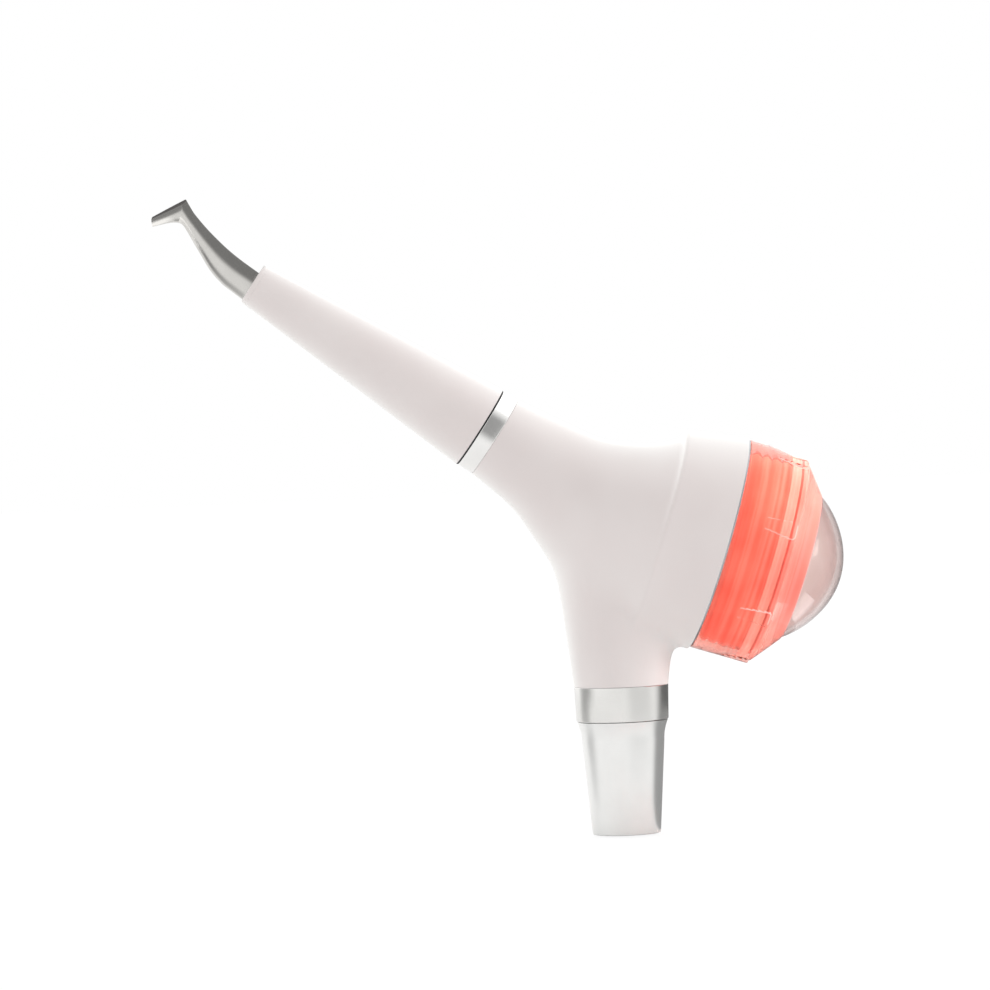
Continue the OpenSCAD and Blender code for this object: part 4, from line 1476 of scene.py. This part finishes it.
@dataclass
class Nose:
    """The nose: ring on the body, tapered sleeve, front ring, bent nozzle and powder tube, in mm."""

    axis: Axis
    coat: bpy.types.Material
    ring: bpy.types.Material
    steel: bpy.types.Material
    ground: bpy.types.Material
    # Finish of the black ring that paints the gap shade at the sleeve's rear.
    gap_shade_finish: bpy.types.Material
    flange_t: float = 1.2
    socket_lip: float = 1.1
    plug_flange: float = 6.0
    front_r: float = 5.15
    nozzle_r: float = 3.75
    nozzle_drop: float = 0.85
    nozzle_seat: float = 10.6
    nozzle_roll: float = 18.0
    nozzle_wall: float = 0.45
    fit: float = 0.05
    nozzle_ease: float = 0.5
    nozzle_mesh: tuple[int, int] = (96, 10)
    bore_mesh: tuple[int, int] = (64, 8)
    nozzle_sharp: float = 30.0
    ground_facing: float = 0.999
    ground_area: float = 1e-7
    water_way_r: float = 3.45
    flat_share: float = 0.14
    flat_fade: float = 1.5
    flat_lean: float = 7.0
    flat_pivot: float = 1.9
    # A black ring at the sleeve's rear is painted gap shade; the sleeve is cut back to hold it.
    gap_shade_width: float = 0.24
    gap_shade_depth: float = 0.7
    gap_shade_lap: float = 0.04
    gap_shade_sink: float = 0.06
    heel: int = 7
    inner_edge: Sequence[tuple[float, float]] = (
        (0, -4.6), (5.5, -4.1), (10.1, -2.8), (14.1, -0.75), (17.8, 1.25), (20.3, 2.6),
        (21.5, 3.1), (22.3, 3.1), (23.1, 2.75), (24.4, 1.8), (26, 0.15), (27.3, -1.25))
    outer_edge: Sequence[tuple[float, float]] = (
        (0, 2.9), (4.3, 3.2), (8.3, 3.65), (11.9, 4.35), (15.9, 5.35), (19.3, 6.45),
        (22.2, 7.55), (24.3, 8.4), (25.3, 6.6), (26.3, 4.75), (27.5, 2.5), (28.6, 0.4))
    half_width: Sequence[float] = (3.75, 3.7, 3.35, 2.78, 2.26, 2.0, 1.95, 1.95, 1.9, 1.75, 1.45, 1.15)

    def build(self) -> None:
        """Makes every piece of the nose."""
        sleeve = self.axis.span("nose_sleeve")
        front = self.axis.span("front_ring")
        self._nose_ring(self.axis.span("nose_ring"))
        self._sleeve(sleeve, front)
        self._front_ring(front, sleeve)
        self._nozzle(front.high)
        self._gap_shade_ring(sleeve)
        finish_with(frame["nodes"]["powder_tube"].data, self.steel)
        log.info("powder_tube: dressed in %s", self.steel.name)

    def _nose_ring(self, ring: Span) -> None:
        """Makes the polished ring between body and nose.

        Args:
            ring: The ring's extent.
        """
        lip_r = ring.inner + self.socket_lip
        outline = rounded([
            Corner(ring.inner, ring.low), Corner(ring.outer, ring.low, 0.2),
            Corner(ring.outer, ring.high, 0.25), Corner(lip_r, ring.high),
            Corner(lip_r, ring.high - self.flange_t), Corner(ring.inner, ring.high - self.flange_t)])
        piece = turn_outline("nose_band", self.axis, outline)
        adopt(piece, "housing", "steel_satin", self.ring, "nose_ring")

    @property
    def _spin(self) -> Points:
        """Makes the matrix that turns rows of [across, sideways, along] by the nozzle's roll.

        Returns:
            The matrix, to stand after the rows.
        """
        turn = math.radians(-self.nozzle_roll)
        return np.array([[math.cos(turn), math.sin(turn), 0], [-math.sin(turn), math.cos(turn), 0],
                         [0, 0, 1]])

    @property
    def _off_centre(self) -> Points:
        """Where the nozzle's centre lies off the nose's axis, as [across, sideways]."""
        return -self.nozzle_drop * self._spin[0, :2]

    def _sleeve(self, span: Span, front: Span) -> None:
        """Makes the tapered sleeve.

        Args:
            span: The sleeve's extent.
            front: The front ring's extent.
        """
        taper = (span.outer - self.front_r) / (front.high - span.low)
        end_r = span.outer - taper * (span.high - span.low)
        flange_r = self.axis.span("nose_plug").outer + self.fit
        way_start = front.high - self.nozzle_seat
        seat_r = self.nozzle_r + self.fit
        # The sleeve's rear is cut back for the black ring of painted gap shade.
        outline = rounded([
            Corner(flange_r, span.low), Corner(span.outer - self.gap_shade_depth, span.low),
            Corner(span.outer - self.gap_shade_depth, span.low + self.gap_shade_width),
            Corner(span.outer - taper * self.gap_shade_width, span.low + self.gap_shade_width, 0.06),
            Corner(end_r, span.high, 0.07), Corner(seat_r, span.high),
            Corner(seat_r, way_start), Corner(self.water_way_r, way_start),
            Corner(self.water_way_r, span.low + self.plug_flange),
            Corner(flange_r, span.low + self.plug_flange)])
        shift = np.zeros((len(outline), 2))
        shift[np.isclose(outline[:, 0], seat_r)] = self._off_centre
        piece = turn_outline("nose_cone", self.axis, outline, shift=shift)
        adopt(piece, "nose", "body_white", self.coat, "nose_sleeve")

    def _front_ring(self, span: Span, sleeve: Span) -> None:
        """Makes the ring round the nozzle at the nose's front.

        Args:
            span: The front ring's extent.
            sleeve: The sleeve's extent.
        """
        taper = (sleeve.outer - self.front_r) / (span.high - sleeve.low)
        start_r = self.front_r + taper * (span.high - span.low)
        seat_r = self.nozzle_r + self.fit
        outline = rounded([
            Corner(seat_r, span.low), Corner(start_r, span.low, 0.07),
            Corner(self.front_r, span.high, 0.22), Corner(seat_r, span.high, 0.1)])
        shift = np.zeros((len(outline), 2))
        shift[outline[:, 0] < (seat_r + self.front_r) / 2] = self._off_centre
        piece = turn_outline("nose_tip_ring", self.axis, outline, shift=shift)
        adopt(piece, "nose", "body_white", self.coat, "front_ring")

    def _sections(self, steps: int) -> list[tuple[Points, Points, float, float]]:
        """Cross-sections of the nozzle outside the nose, from its root to its tip.

        Args:
            steps: Sections between each pair of edge points.

        Returns:
            Centre, direction across, half height and half width of each section.
        """
        sections = []
        last = len(self.inner_edge) - 1
        for index in range(last):
            for step in range(steps + (index == last - 1)):
                u = step / steps
                low = self._between(np.array(self.inner_edge), index, u, -1)
                high = self._between(np.array(self.outer_edge), index, u, self.heel)
                width = self._between(np.array(self.half_width)[:, None], index, u, -1)[0]
                size = float(np.linalg.norm(high - low))
                across = (high - low) / size
                near = (index + u - self.heel) / self.flat_fade + 1
                cut = self.flat_share * min(max(near, 0), 1)
                half = size / 2 * (1 + cut)
                sections.append((low + half * across, across, half, float(width)))
        return sections

    @staticmethod
    def _between(rows: Points, index: int, u: float, corner: int) -> np.ndarray:
        """A point of a smooth curve through rows, with a crisp corner at one of them.

        Args:
            rows: The points.
            index: The point before the wanted place.
            u: Share of the way to the next point.
            corner: Number of the crisp point, or -1.

        Returns:
            The point.
        """
        b, c = rows[index], rows[index + 1]
        a = b if index in (0, corner) else rows[index - 1]
        d = c if index + 1 in (len(rows) - 1, corner) else rows[index + 2]
        return 0.5 * (2 * b + (c - a) * u + (2 * a - 5 * b + 4 * c - d) * u * u
                      + (3 * b - a - 3 * c + d) * u ** 3)

    def _stack(self, front: float, shrink: float, sides: int, steps: int) -> tuple[Points, int]:
        """Rings of the nozzle's outside, or of its bore.

        Args:
            front: Station of the nose's front face.
            shrink: How far the rings are drawn in.
            sides: Points in a ring.
            steps: Sections between each pair of edge points.

        Returns:
            The points in the nose's frame and the number of rings.
        """
        seat_centre = np.array([-self.nozzle_seat, -self.nozzle_drop])
        ease_centre = np.array([-self.nozzle_ease, -self.nozzle_drop])
        upright = np.array([0.0, 1.0])
        stack = [(seat_centre, upright, self.nozzle_r, self.nozzle_r),
                 (ease_centre, upright, self.nozzle_r, self.nozzle_r), *self._sections(steps)[steps:]]
        angles = angles_round(sides)
        rings = []
        for centre, across, half, width in stack:
            rise = (half - shrink) * np.cos(angles)
            place = centre + rise[:, None] * across
            side = (width - shrink) * np.sin(angles)
            rings.append(np.stack([place[:, 1], side, front + place[:, 0]], axis=-1))
        return np.concatenate(rings) @ self._spin, len(rings)

    def _flat(self, front: float, shrink: float) -> tuple[Points, Points]:
        """Plane of the flat ground on the nozzle's tip.

        Args:
            front: Station of the nose's front face.
            shrink: How far the plane is moved in.

        Returns:
            A point on the plane and its outward direction, in the part's frame.
        """
        start, end = np.array(self.outer_edge[self.heel]), np.array(self.outer_edge[-1])
        along = (end - start) / np.linalg.norm(end - start)
        out = np.array([-along[1], along[0]])
        at = start - shrink * out
        point = np.array([at[1], 0, front + at[0]]) @ self._spin
        normal = np.array([out[1], 0, out[0]]) @ self._spin
        out = self.axis.place(normal) - self.axis.place(np.zeros(3))
        side = np.array([0, -1.0, 0]) - out * -out[1]
        side /= np.linalg.norm(side)
        lean = math.radians(self.flat_lean)
        pivot = self.axis.place(point) - self.flat_pivot * side
        return pivot, out * math.cos(lean) + side * math.sin(lean)

    def _closed_stack(self, front: float, shrink: float, sides: int, steps: int) -> tuple[Points, list]:
        """Closes the nozzle's outside or bore to a solid and cuts it by its flat.

        Args:
            front: Station of the nose's front face.
            shrink: How far the solid is drawn in.
            sides: Points in a ring.
            steps: Sections between each pair of edge points.

        Returns:
            The solid's points, in the part's frame, and its faces.
        """
        local, rings = self._stack(front, shrink, sides, steps)
        points = self.axis.place(local)
        faces = ring_faces(rings, sides, closed=False).tolist()
        faces.append(list(range(sides))[::-1])
        faces.append([(rings - 1) * sides + side for side in range(sides)])
        return trim(points, faces, [self._flat(front, shrink)])

    def _nozzle(self, front: float) -> None:
        """Makes the bent, tapering nozzle with its bore and the flat on its tip.

        Args:
            front: Station of the nose's front face.
        """
        points, faces = self._closed_stack(front, 0.0, *self.nozzle_mesh)
        piece = make_piece("jet_nozzle", points, faces, self.nozzle_sharp)
        bore = make_piece("bore_tool", *self._closed_stack(front, self.nozzle_wall, *self.bore_mesh))
        carve(piece, [bore], self.nozzle_sharp)
        adopt(piece, "nose", "steel_satin", self.steel, "nozzle")
        # The flat's faces take the darker ground steel: painted shade on a rougher ground finish.
        piece.data.materials.append(self.ground)
        normal = Vector(self._flat(front, 0.0)[1].tolist())
        for face in piece.data.polygons:
            facing = face.normal.dot(normal) > self.ground_facing
            face.material_index = int(facing and face.area > self.ground_area)

    def _gap_shade_ring(self, span: Span) -> None:
        """Makes a thin black ring in the joint of the nose and its ring: painted gap shade that darkens the
        joint's line.

        Args:
            span: The sleeve's extent.
        """
        inner_r, outer_r = span.outer - self.gap_shade_depth, span.outer - self.gap_shade_sink
        low, high = span.low - self.gap_shade_lap, span.low + self.gap_shade_width
        outline = rounded([Corner(inner_r, low), Corner(outer_r, low, 0.05),
                           Corner(outer_r, high, 0.05), Corner(inner_r, high)])
        piece = turn_outline("nose_gap_shade_ring", self.axis, outline)
        adopt(piece, "nose", "rubber_black", self.gap_shade_finish)


# ------------------------------------------------------------------ inner pieces


@dataclass
class InnerPieces:
    """Finishes for the solids of the frame that keep their own shape."""

    steel: bpy.types.Material
    nickel: bpy.types.Material
    rubber: bpy.types.Material
    silicone: bpy.types.Material
    rubber_nodes: Sequence[str] = ("hose_gasket", "coupling_orings", "nose_orings")
    silicone_nodes: Sequence[str] = ("air_valve", "cap_seal")
    nickel_nodes: Sequence[str] = ("coupling_socket", "nose_socket", "manifold_block", "coupling_plug",
                                   "nose_plug")
    steel_nodes: Sequence[str] = ("hose_connector", "neck_nut", "air_line", "water_line", "powder_line",
                                  "nose_water_line", "powder_pipe", "air_pipe", "pipe_nuts", "cup_screws")
    sharp: float = 35.0

    def dress(self) -> None:
        """Gives each solid its finish."""
        for names, material in ((self.rubber_nodes, self.rubber), (self.nickel_nodes, self.nickel),
                                (self.steel_nodes, self.steel), (self.silicone_nodes, self.silicone)):
            for name in names:
                data = frame["nodes"][name].data
                finish_with(data, material)
                shade(data, self.sharp)
                log.info("%s: dressed in %s", name, material.name)


# ------------------------------------------------------------------ studio


@dataclass(frozen=True)
class Screen:
    """A soft grey screen in the tent: its direction, its half-width in degrees and its level."""

    toward: tuple[float, float, float]
    radius: float
    softness: float
    level: float


@dataclass(frozen=True)
class Card:
    """A curved card round a line, in mm, that only glossy metal and coat mirror.

    Its angles run about the line from the camera's side towards the line's upper right.
    """

    start: tuple[float, float]
    end: tuple[float, float]
    radius: float
    first: float
    last: float
    level: float
    end_level: float | None = None
    end_radius: float | None = None
    soft: float = 14.0
    around: float = 1.0
    steps: int = 49

    def build(self, name: str) -> None:
        """Makes the card and takes it out of every kind of ray but the glossy.

        Args:
            name: The card's name.
        """
        start, end = np.array([self.start[0], 0, self.start[1]]), np.array([self.end[0], 0, self.end[1]])
        along = (end - start) / np.linalg.norm(end - start)
        upper = np.array([along[2], 0, -along[0]])
        degrees = np.linspace(self.first, self.last, self.steps)
        turns = np.radians(degrees)[:, None]
        ring = np.sin(turns) * upper - np.cos(turns) * np.array([0, 1, 0])
        far = self.radius if self.end_radius is None else self.end_radius
        points = np.concatenate([start + self.radius * ring, end + far * ring]) * MM
        mesh = bpy.data.meshes.new(name)
        mesh.from_pydata(points.tolist(), [], [(i, i + 1, self.steps + i + 1, self.steps + i)
                                               for i in range(self.steps - 1)])
        share = soft_ends(np.minimum(degrees - self.first, self.last - degrees) / self.soft)
        ends = (self.level, self.level if self.end_level is None else self.end_level)
        levels = [self.around + (level - self.around) * share for level in ends]
        mesh.attributes.new("level", "FLOAT", "POINT").data.foreach_set("value", np.concatenate(levels))
        material, graph = empty_material(name)
        level = graph.add("ShaderNodeAttribute", attribute_name="level").outputs["Fac"]
        light = graph.add("ShaderNodeEmission", {"Strength": level})
        graph.add("ShaderNodeOutputMaterial", {"Surface": light.outputs[0]})
        mesh.materials.append(material)
        card = add_object(name, mesh)
        card.visible_camera = card.visible_diffuse = card.visible_shadow = False
        card.visible_transmission = card.visible_volume_scatter = False


@dataclass(frozen=True)
class Panel:
    """A large soft lamp: its place and size in metres, its power in watts."""

    name: str
    place: tuple[float, float, float]
    size: float
    power: float
    mirrored: bool = True

    def build(self, target: Vector) -> None:
        """Makes the lamp.

        Args:
            target: The point that it faces.
        """
        data = bpy.data.lights.new(self.name, "AREA")
        data.shape = "SQUARE"
        data.size = self.size
        data.energy = self.power
        lamp = add_object(self.name, data)
        lamp.location = self.place
        lamp.visible_glossy = self.mirrored
        lamp.rotation_euler = (target - lamp.location).to_track_quat("-Z", "Y").to_euler()


@dataclass(frozen=True)
class Floor:
    """A pale floor that is white to the camera and keeps a soft shadow, in metres."""

    half: float = 4.0
    sink: float = 0.0005
    cloud_scale: float = 3.0
    tone_low: float = 0.86
    tone_high: float = 0.88
    white: float = 1.03
    white_share: float = 0.9
    glow: float = 2.1

    def build(self) -> None:
        """Makes the floor."""
        half = self.half
        mesh = bpy.data.meshes.new("floor")
        mesh.from_pydata([(-half, -half, 0), (half, -half, 0), (half, half, 0), (-half, half, 0)], [],
                         [(0, 1, 2, 3)])
        floor = add_object("floor", mesh)
        floor.location = (0, 0, -self.sink)
        material, graph = empty_material("pale_floor")
        place = graph.add("ShaderNodeTexCoord").outputs["Object"]
        cloud = graph.add("ShaderNodeTexNoise", {"Vector": place, "Scale": self.cloud_scale})
        tone = graph.ramp(cloud.outputs[0], *CLOUD_RANGE, self.tone_low, self.tone_high)
        paint = graph.add("ShaderNodeCombineColor", {0: tone, 1: tone, 2: tone})
        matt = graph.add("ShaderNodeBsdfDiffuse", {"Color": paint.outputs[0]})
        seen, inside = graph.ray_kinds()
        through = graph.math("MULTIPLY_ADD", inside, self.glow - self.white, self.white)
        glow = graph.add("ShaderNodeEmission", {"Strength": through})
        share = graph.math("MULTIPLY", seen, self.white_share)
        mix = graph.add("ShaderNodeMixShader", {0: share, 1: matt.outputs[0], 2: glow.outputs[0]})
        graph.add("ShaderNodeOutputMaterial", {"Surface": mix.outputs[0]})
        mesh.materials.append(material)


@dataclass
class Studio:
    """White tent light, pale floor and camera."""

    target: tuple[float, float, float] = (-0.02851, 0.0, 0.08259)
    distance: float = 1.254
    azimuth: float = -3.0
    elevation: float = 1.2
    roll: float = -2.3
    focal: float = 190.0
    sensor: float = 36.0
    tent_level: float = 1.24
    tent_slope: float = 0.26
    tent_rise: float = -0.14
    glow: float = 0.25
    top_glow: float = 12.0
    top_power: float = 4.0
    side_glow: float = 2.4
    screens: Sequence[Screen] = (
        Screen((0.10, -0.70, 0.70), 34.0, 18.0, 0.82),
    )
    panels: Sequence[Panel] = (
        Panel("left_panel", (-0.9, 0.5, 0.35), 0.8, 0.2),
        Panel("right_panel", (0.88, -0.18, 0.04), 0.4, 4.1, mirrored=False),
        Panel("top_panel", (0.1, 0.2, 1.1), 0.9, 0.5),
    )
    cards: Sequence[Card] = (
        Card((-84.2, 135.3), (-107.0, 151.5), 6.3, -6.0, 160.0, 0.24, end_radius=17.0, soft=34.0),
        Card((-85.2, 135.4), (-106.0, 149.0), 7.0, -118.0, -50.0, 0.66, 0.12, 17.0, soft=26.0),
        Card((-94.0, 157.6), (-118.0, 141.7), 16.0, -8.0, 178.0, 0.30),
        Card((-109.0, 147.7), (-121.0, 139.7), 8.0, -136.0, -4.0, 1.5),
        Card((-22.0, 92.0), (-42.0, 106.0), 45.0, -24.0, 58.0, 0.36, soft=24.0),
        Card((-22.0, 92.0), (-42.0, 106.0), 46.0, 52.0, 165.0, 1.5),
        Card((0.0, 0.0), (0.0, 26.0), 46.0, 78.0, 172.0, 0.32),
        Card((0.0, 0.2), (0.0, 0.3), 10.0, 78.0, 172.0, 0.32, end_radius=46.0),
        Card((0.0, 26.0), (0.0, 42.0), 46.0, 72.0, 172.0, 0.14, soft=30.0),
        Card((0.0, 0.0), (0.0, 30.0), 46.0, -122.0, -76.0, 0.84, 0.45, soft=18.0),
        Card((0.0, 30.0), (0.0, 42.0), 46.0, -118.0, -64.0, 0.42, soft=20.0),
        Card((0.0, 0.0), (0.0, 30.0), 46.0, 0.0, 78.2, 1.0, 0.78, soft=24.0),
        Card((0.0, 30.0), (0.0, 42.0), 46.0, 0.0, 72.2, 0.80, soft=22.0),
        Card((62.0, 14.0), (62.0, 40.0), 60.0, 104.0, 178.0, 1.2, 0.4),
        Card((62.0, 40.0), (62.0, 130.0), 60.0, 104.0, 178.0, 0.4, 0.3),
        Card((22.0, 70.0), (50.0, 60.5), 42.0, 138.0, 178.0, 1.15),
        Card((62.0, 1000.0), (112.0, 1000.0), 999.0, 88.0, 92.0, 6.5, soft=1.4),
    )

    def build(self) -> None:
        """Sets the world, the lamps, the floor and the camera."""
        bpy.context.scene.view_settings.view_transform = "Standard"
        self._world()
        for panel in self.panels:
            panel.build(Vector(self.target))
        for index, card in enumerate(self.cards):
            card.build(f"card_{index}")
        Floor().build()
        self._camera()

    def _world(self) -> None:
        """A white tent, brighter behind, with soft grey screens that the metals mirror."""
        world = bpy.data.worlds.new("tent")
        world.use_nodes = True
        bpy.context.scene.world = world
        graph = Graph(world.node_tree)
        way = graph.add("ShaderNodeTexCoord").outputs["Generated"]
        part = graph.add("ShaderNodeSeparateXYZ", {0: way})
        light = graph.math("MULTIPLY_ADD", part.outputs["Y"], self.tent_slope, self.tent_level)
        light = graph.math("MULTIPLY_ADD", part.outputs["Z"], self.tent_rise, light)
        for screen in self.screens:
            facing = graph.add("ShaderNodeVectorMath", {0: way, 1: screen.toward},
                               operation="DOT_PRODUCT").outputs["Value"]
            outer = math.cos(math.radians(screen.radius + screen.softness))
            inner = math.cos(math.radians(screen.radius - screen.softness))
            light = graph.math("MULTIPLY", light, graph.ramp(facing, outer, inner, 1.0, screen.level))
        seen, inside = graph.ray_kinds()
        rise = graph.math("MAXIMUM", part.outputs["Z"], 0.0)
        lift = graph.math("POWER", rise, self.top_power)
        aside = graph.math("MAXIMUM", part.outputs["X"], 0.0)
        beside = graph.math("MULTIPLY", aside, aside)
        extra = graph.math("MULTIPLY_ADD", lift, self.top_glow, self.glow - 1.0)
        extra = graph.math("MULTIPLY_ADD", beside, self.side_glow, extra)
        through = graph.math("MULTIPLY_ADD", inside, extra, 1.0)
        strength = graph.add("ShaderNodeMix", {"Factor": seen}, data_type="FLOAT")
        graph.feed(strength, {2: light, 3: through})
        tent = graph.add("ShaderNodeBackground", {"Color": (1.0, 1.0, 1.0, 1.0),
                                                  "Strength": strength.outputs[0]})
        graph.add("ShaderNodeOutputWorld", {"Surface": tent.outputs[0]})

    def _camera(self) -> None:
        """A long lens, almost level, from slightly left of the front."""
        turn, rise, roll = (math.radians(v) for v in (self.azimuth, self.elevation, self.roll))
        back = Vector((math.sin(turn) * math.cos(rise), -math.cos(turn) * math.cos(rise), math.sin(rise)))
        level = Vector((math.cos(turn), math.sin(turn), 0))
        upright = back.cross(level)
        right = level * math.cos(roll) + upright * math.sin(roll)
        up = upright * math.cos(roll) - level * math.sin(roll)
        data = bpy.data.cameras.new("camera")
        data.lens = self.focal
        data.sensor_width = self.sensor
        camera = add_object("camera", data)
        pose = Matrix((right, up, back)).transposed().to_4x4()
        pose.translation = Vector(self.target) + back * self.distance
        camera.matrix_world = pose
        bpy.context.scene.camera = camera


# ------------------------------------------------------------------ assembly


def finishes(along: dict[Arm, tuple[float, ...]]) -> list[CoatedFinish | MetalFinish | ClearFinish]:
    """Describes every finish of the handpiece.

    Args:
        along: Direction of each arm's axis.

    Returns:
        The finishes, each under its own name.
    """
    nose, chamber = along[Arm.NOSE], along[Arm.CHAMBER]
    return [
        # The body's rim colour is a painted sheen at its silhouette.
        CoatedFinish("body_coat", from_screen(221, 213, 211), from_screen(218, 209, 207),
                     coat=0.35, rim=from_screen(250, 250, 247), painted_rim_power=1.8),
        MetalFinish("sleeve_aluminium", from_screen(238, 238, 236), 0.28, depth=0.05, cloud=0.02),
        MetalFinish("ring_steel", from_screen(228, 227, 224), 0.22, depth=0.1, cloud=0.02),
        MetalFinish("band_steel", from_screen(237, 236, 234), 0.18, axis=nose, cloud=0.02),
        MetalFinish("nozzle_steel", from_screen(209, 207, 203), 0.26, axis=nose,
                    lines=900.0, depth=0.03, cloud=0.03),
        # The flat's dark colour is painted shade; its greater roughness is that of the ground finish.
        MetalFinish("nozzle_ground", from_screen(128, 123, 120), 0.42, axis=nose,
                    lines=2500.0, depth=0.04),
        MetalFinish("trim_steel", from_screen(170, 174, 178), 0.2, axis=chamber),
        MetalFinish("nickel_brass", from_screen(206, 200, 186), 0.3),
        CoatedFinish("seal_rubber", from_screen(34, 34, 36), from_screen(27, 27, 30),
                     roughness=0.6, relief=0.05),
        CoatedFinish("seal_silicone", from_screen(236, 226, 222), from_screen(230, 219, 215),
                     roughness=0.5, relief=0.03),
        CoatedFinish("cup_plastic", from_screen(244, 238, 236), from_screen(241, 234, 232),
                     roughness=0.3),
        # The red cap's rim colour paints light at its silhouette and in its painted bands of the thread's
        # reflection and shade.
        ClearFinish("cap_red", from_screen(255, 164, 148), from_screen(255, 142, 126),
                    from_screen(255, 212, 200), roughness=0.05, ior=1.12, clear=0.94, coat=0.2,
                    axis=chamber, painted_bands=0.4),
        # A lighter copy of the red: painted light on the cap's shoulder and on the dome's flange.
        ClearFinish("cap_red_painted_light", from_screen(255, 221, 218), from_screen(255, 213, 209),
                    from_screen(255, 220, 213), roughness=0.12, ior=1.2, clear=0.36, coat=0.4),
        # A near-white copy of the red: painted highlight on the lug flanks and painted light on a band of
        # the bore.
        ClearFinish("cap_red_painted_highlight", from_screen(255, 224, 217), from_screen(255, 220, 212),
                    from_screen(255, 236, 230), roughness=0.15, ior=1.2, clear=0.3, coat=0.4),
        # The dome's dark rim colour is painted shade at its silhouette.
        ClearFinish("dome_clear", from_screen(243, 228, 224), from_screen(238, 221, 217),
                    from_screen(176, 140, 136), roughness=0.08, ior=1.3, painted_rim_power=2.2),
    ]


def main() -> None:
    """Builds the handpiece's pieces in order, then the studio."""
    logging.basicConfig(level=logging.INFO, format="%(name)s: %(message)s")
    axes = arm_axes()
    groups = Groups.build()
    along = {arm: tuple(axis.along) for arm, axis in axes.items()}
    made = {finish.name: finish.build(groups) for finish in finishes(along)}
    coat, steel, rubber = made["body_coat"], made["nozzle_steel"], made["seal_rubber"]
    chamber = axes[Arm.CHAMBER]
    BodyShell(axes, coat).build()
    PowderCup(chamber, made["cup_plastic"], made["trim_steel"]).build()
    ScrewCap(chamber, red=made["cap_red"], pale=made["cap_red_painted_light"], edge=made["cap_red_painted_highlight"],
             dome=made["dome_clear"]).build()
    Coupling(axes[Arm.COUPLING], sleeve=made["sleeve_aluminium"], ring=made["ring_steel"]).build()
    Nose(axes[Arm.NOSE], coat=coat, ring=made["band_steel"], steel=steel, ground=made["nozzle_ground"],
         gap_shade_finish=rubber).build()
    InnerPieces(steel, made["nickel_brass"], rubber, made["seal_silicone"]).dress()
    Studio().build()


if __name__ == "__main__":
    main()
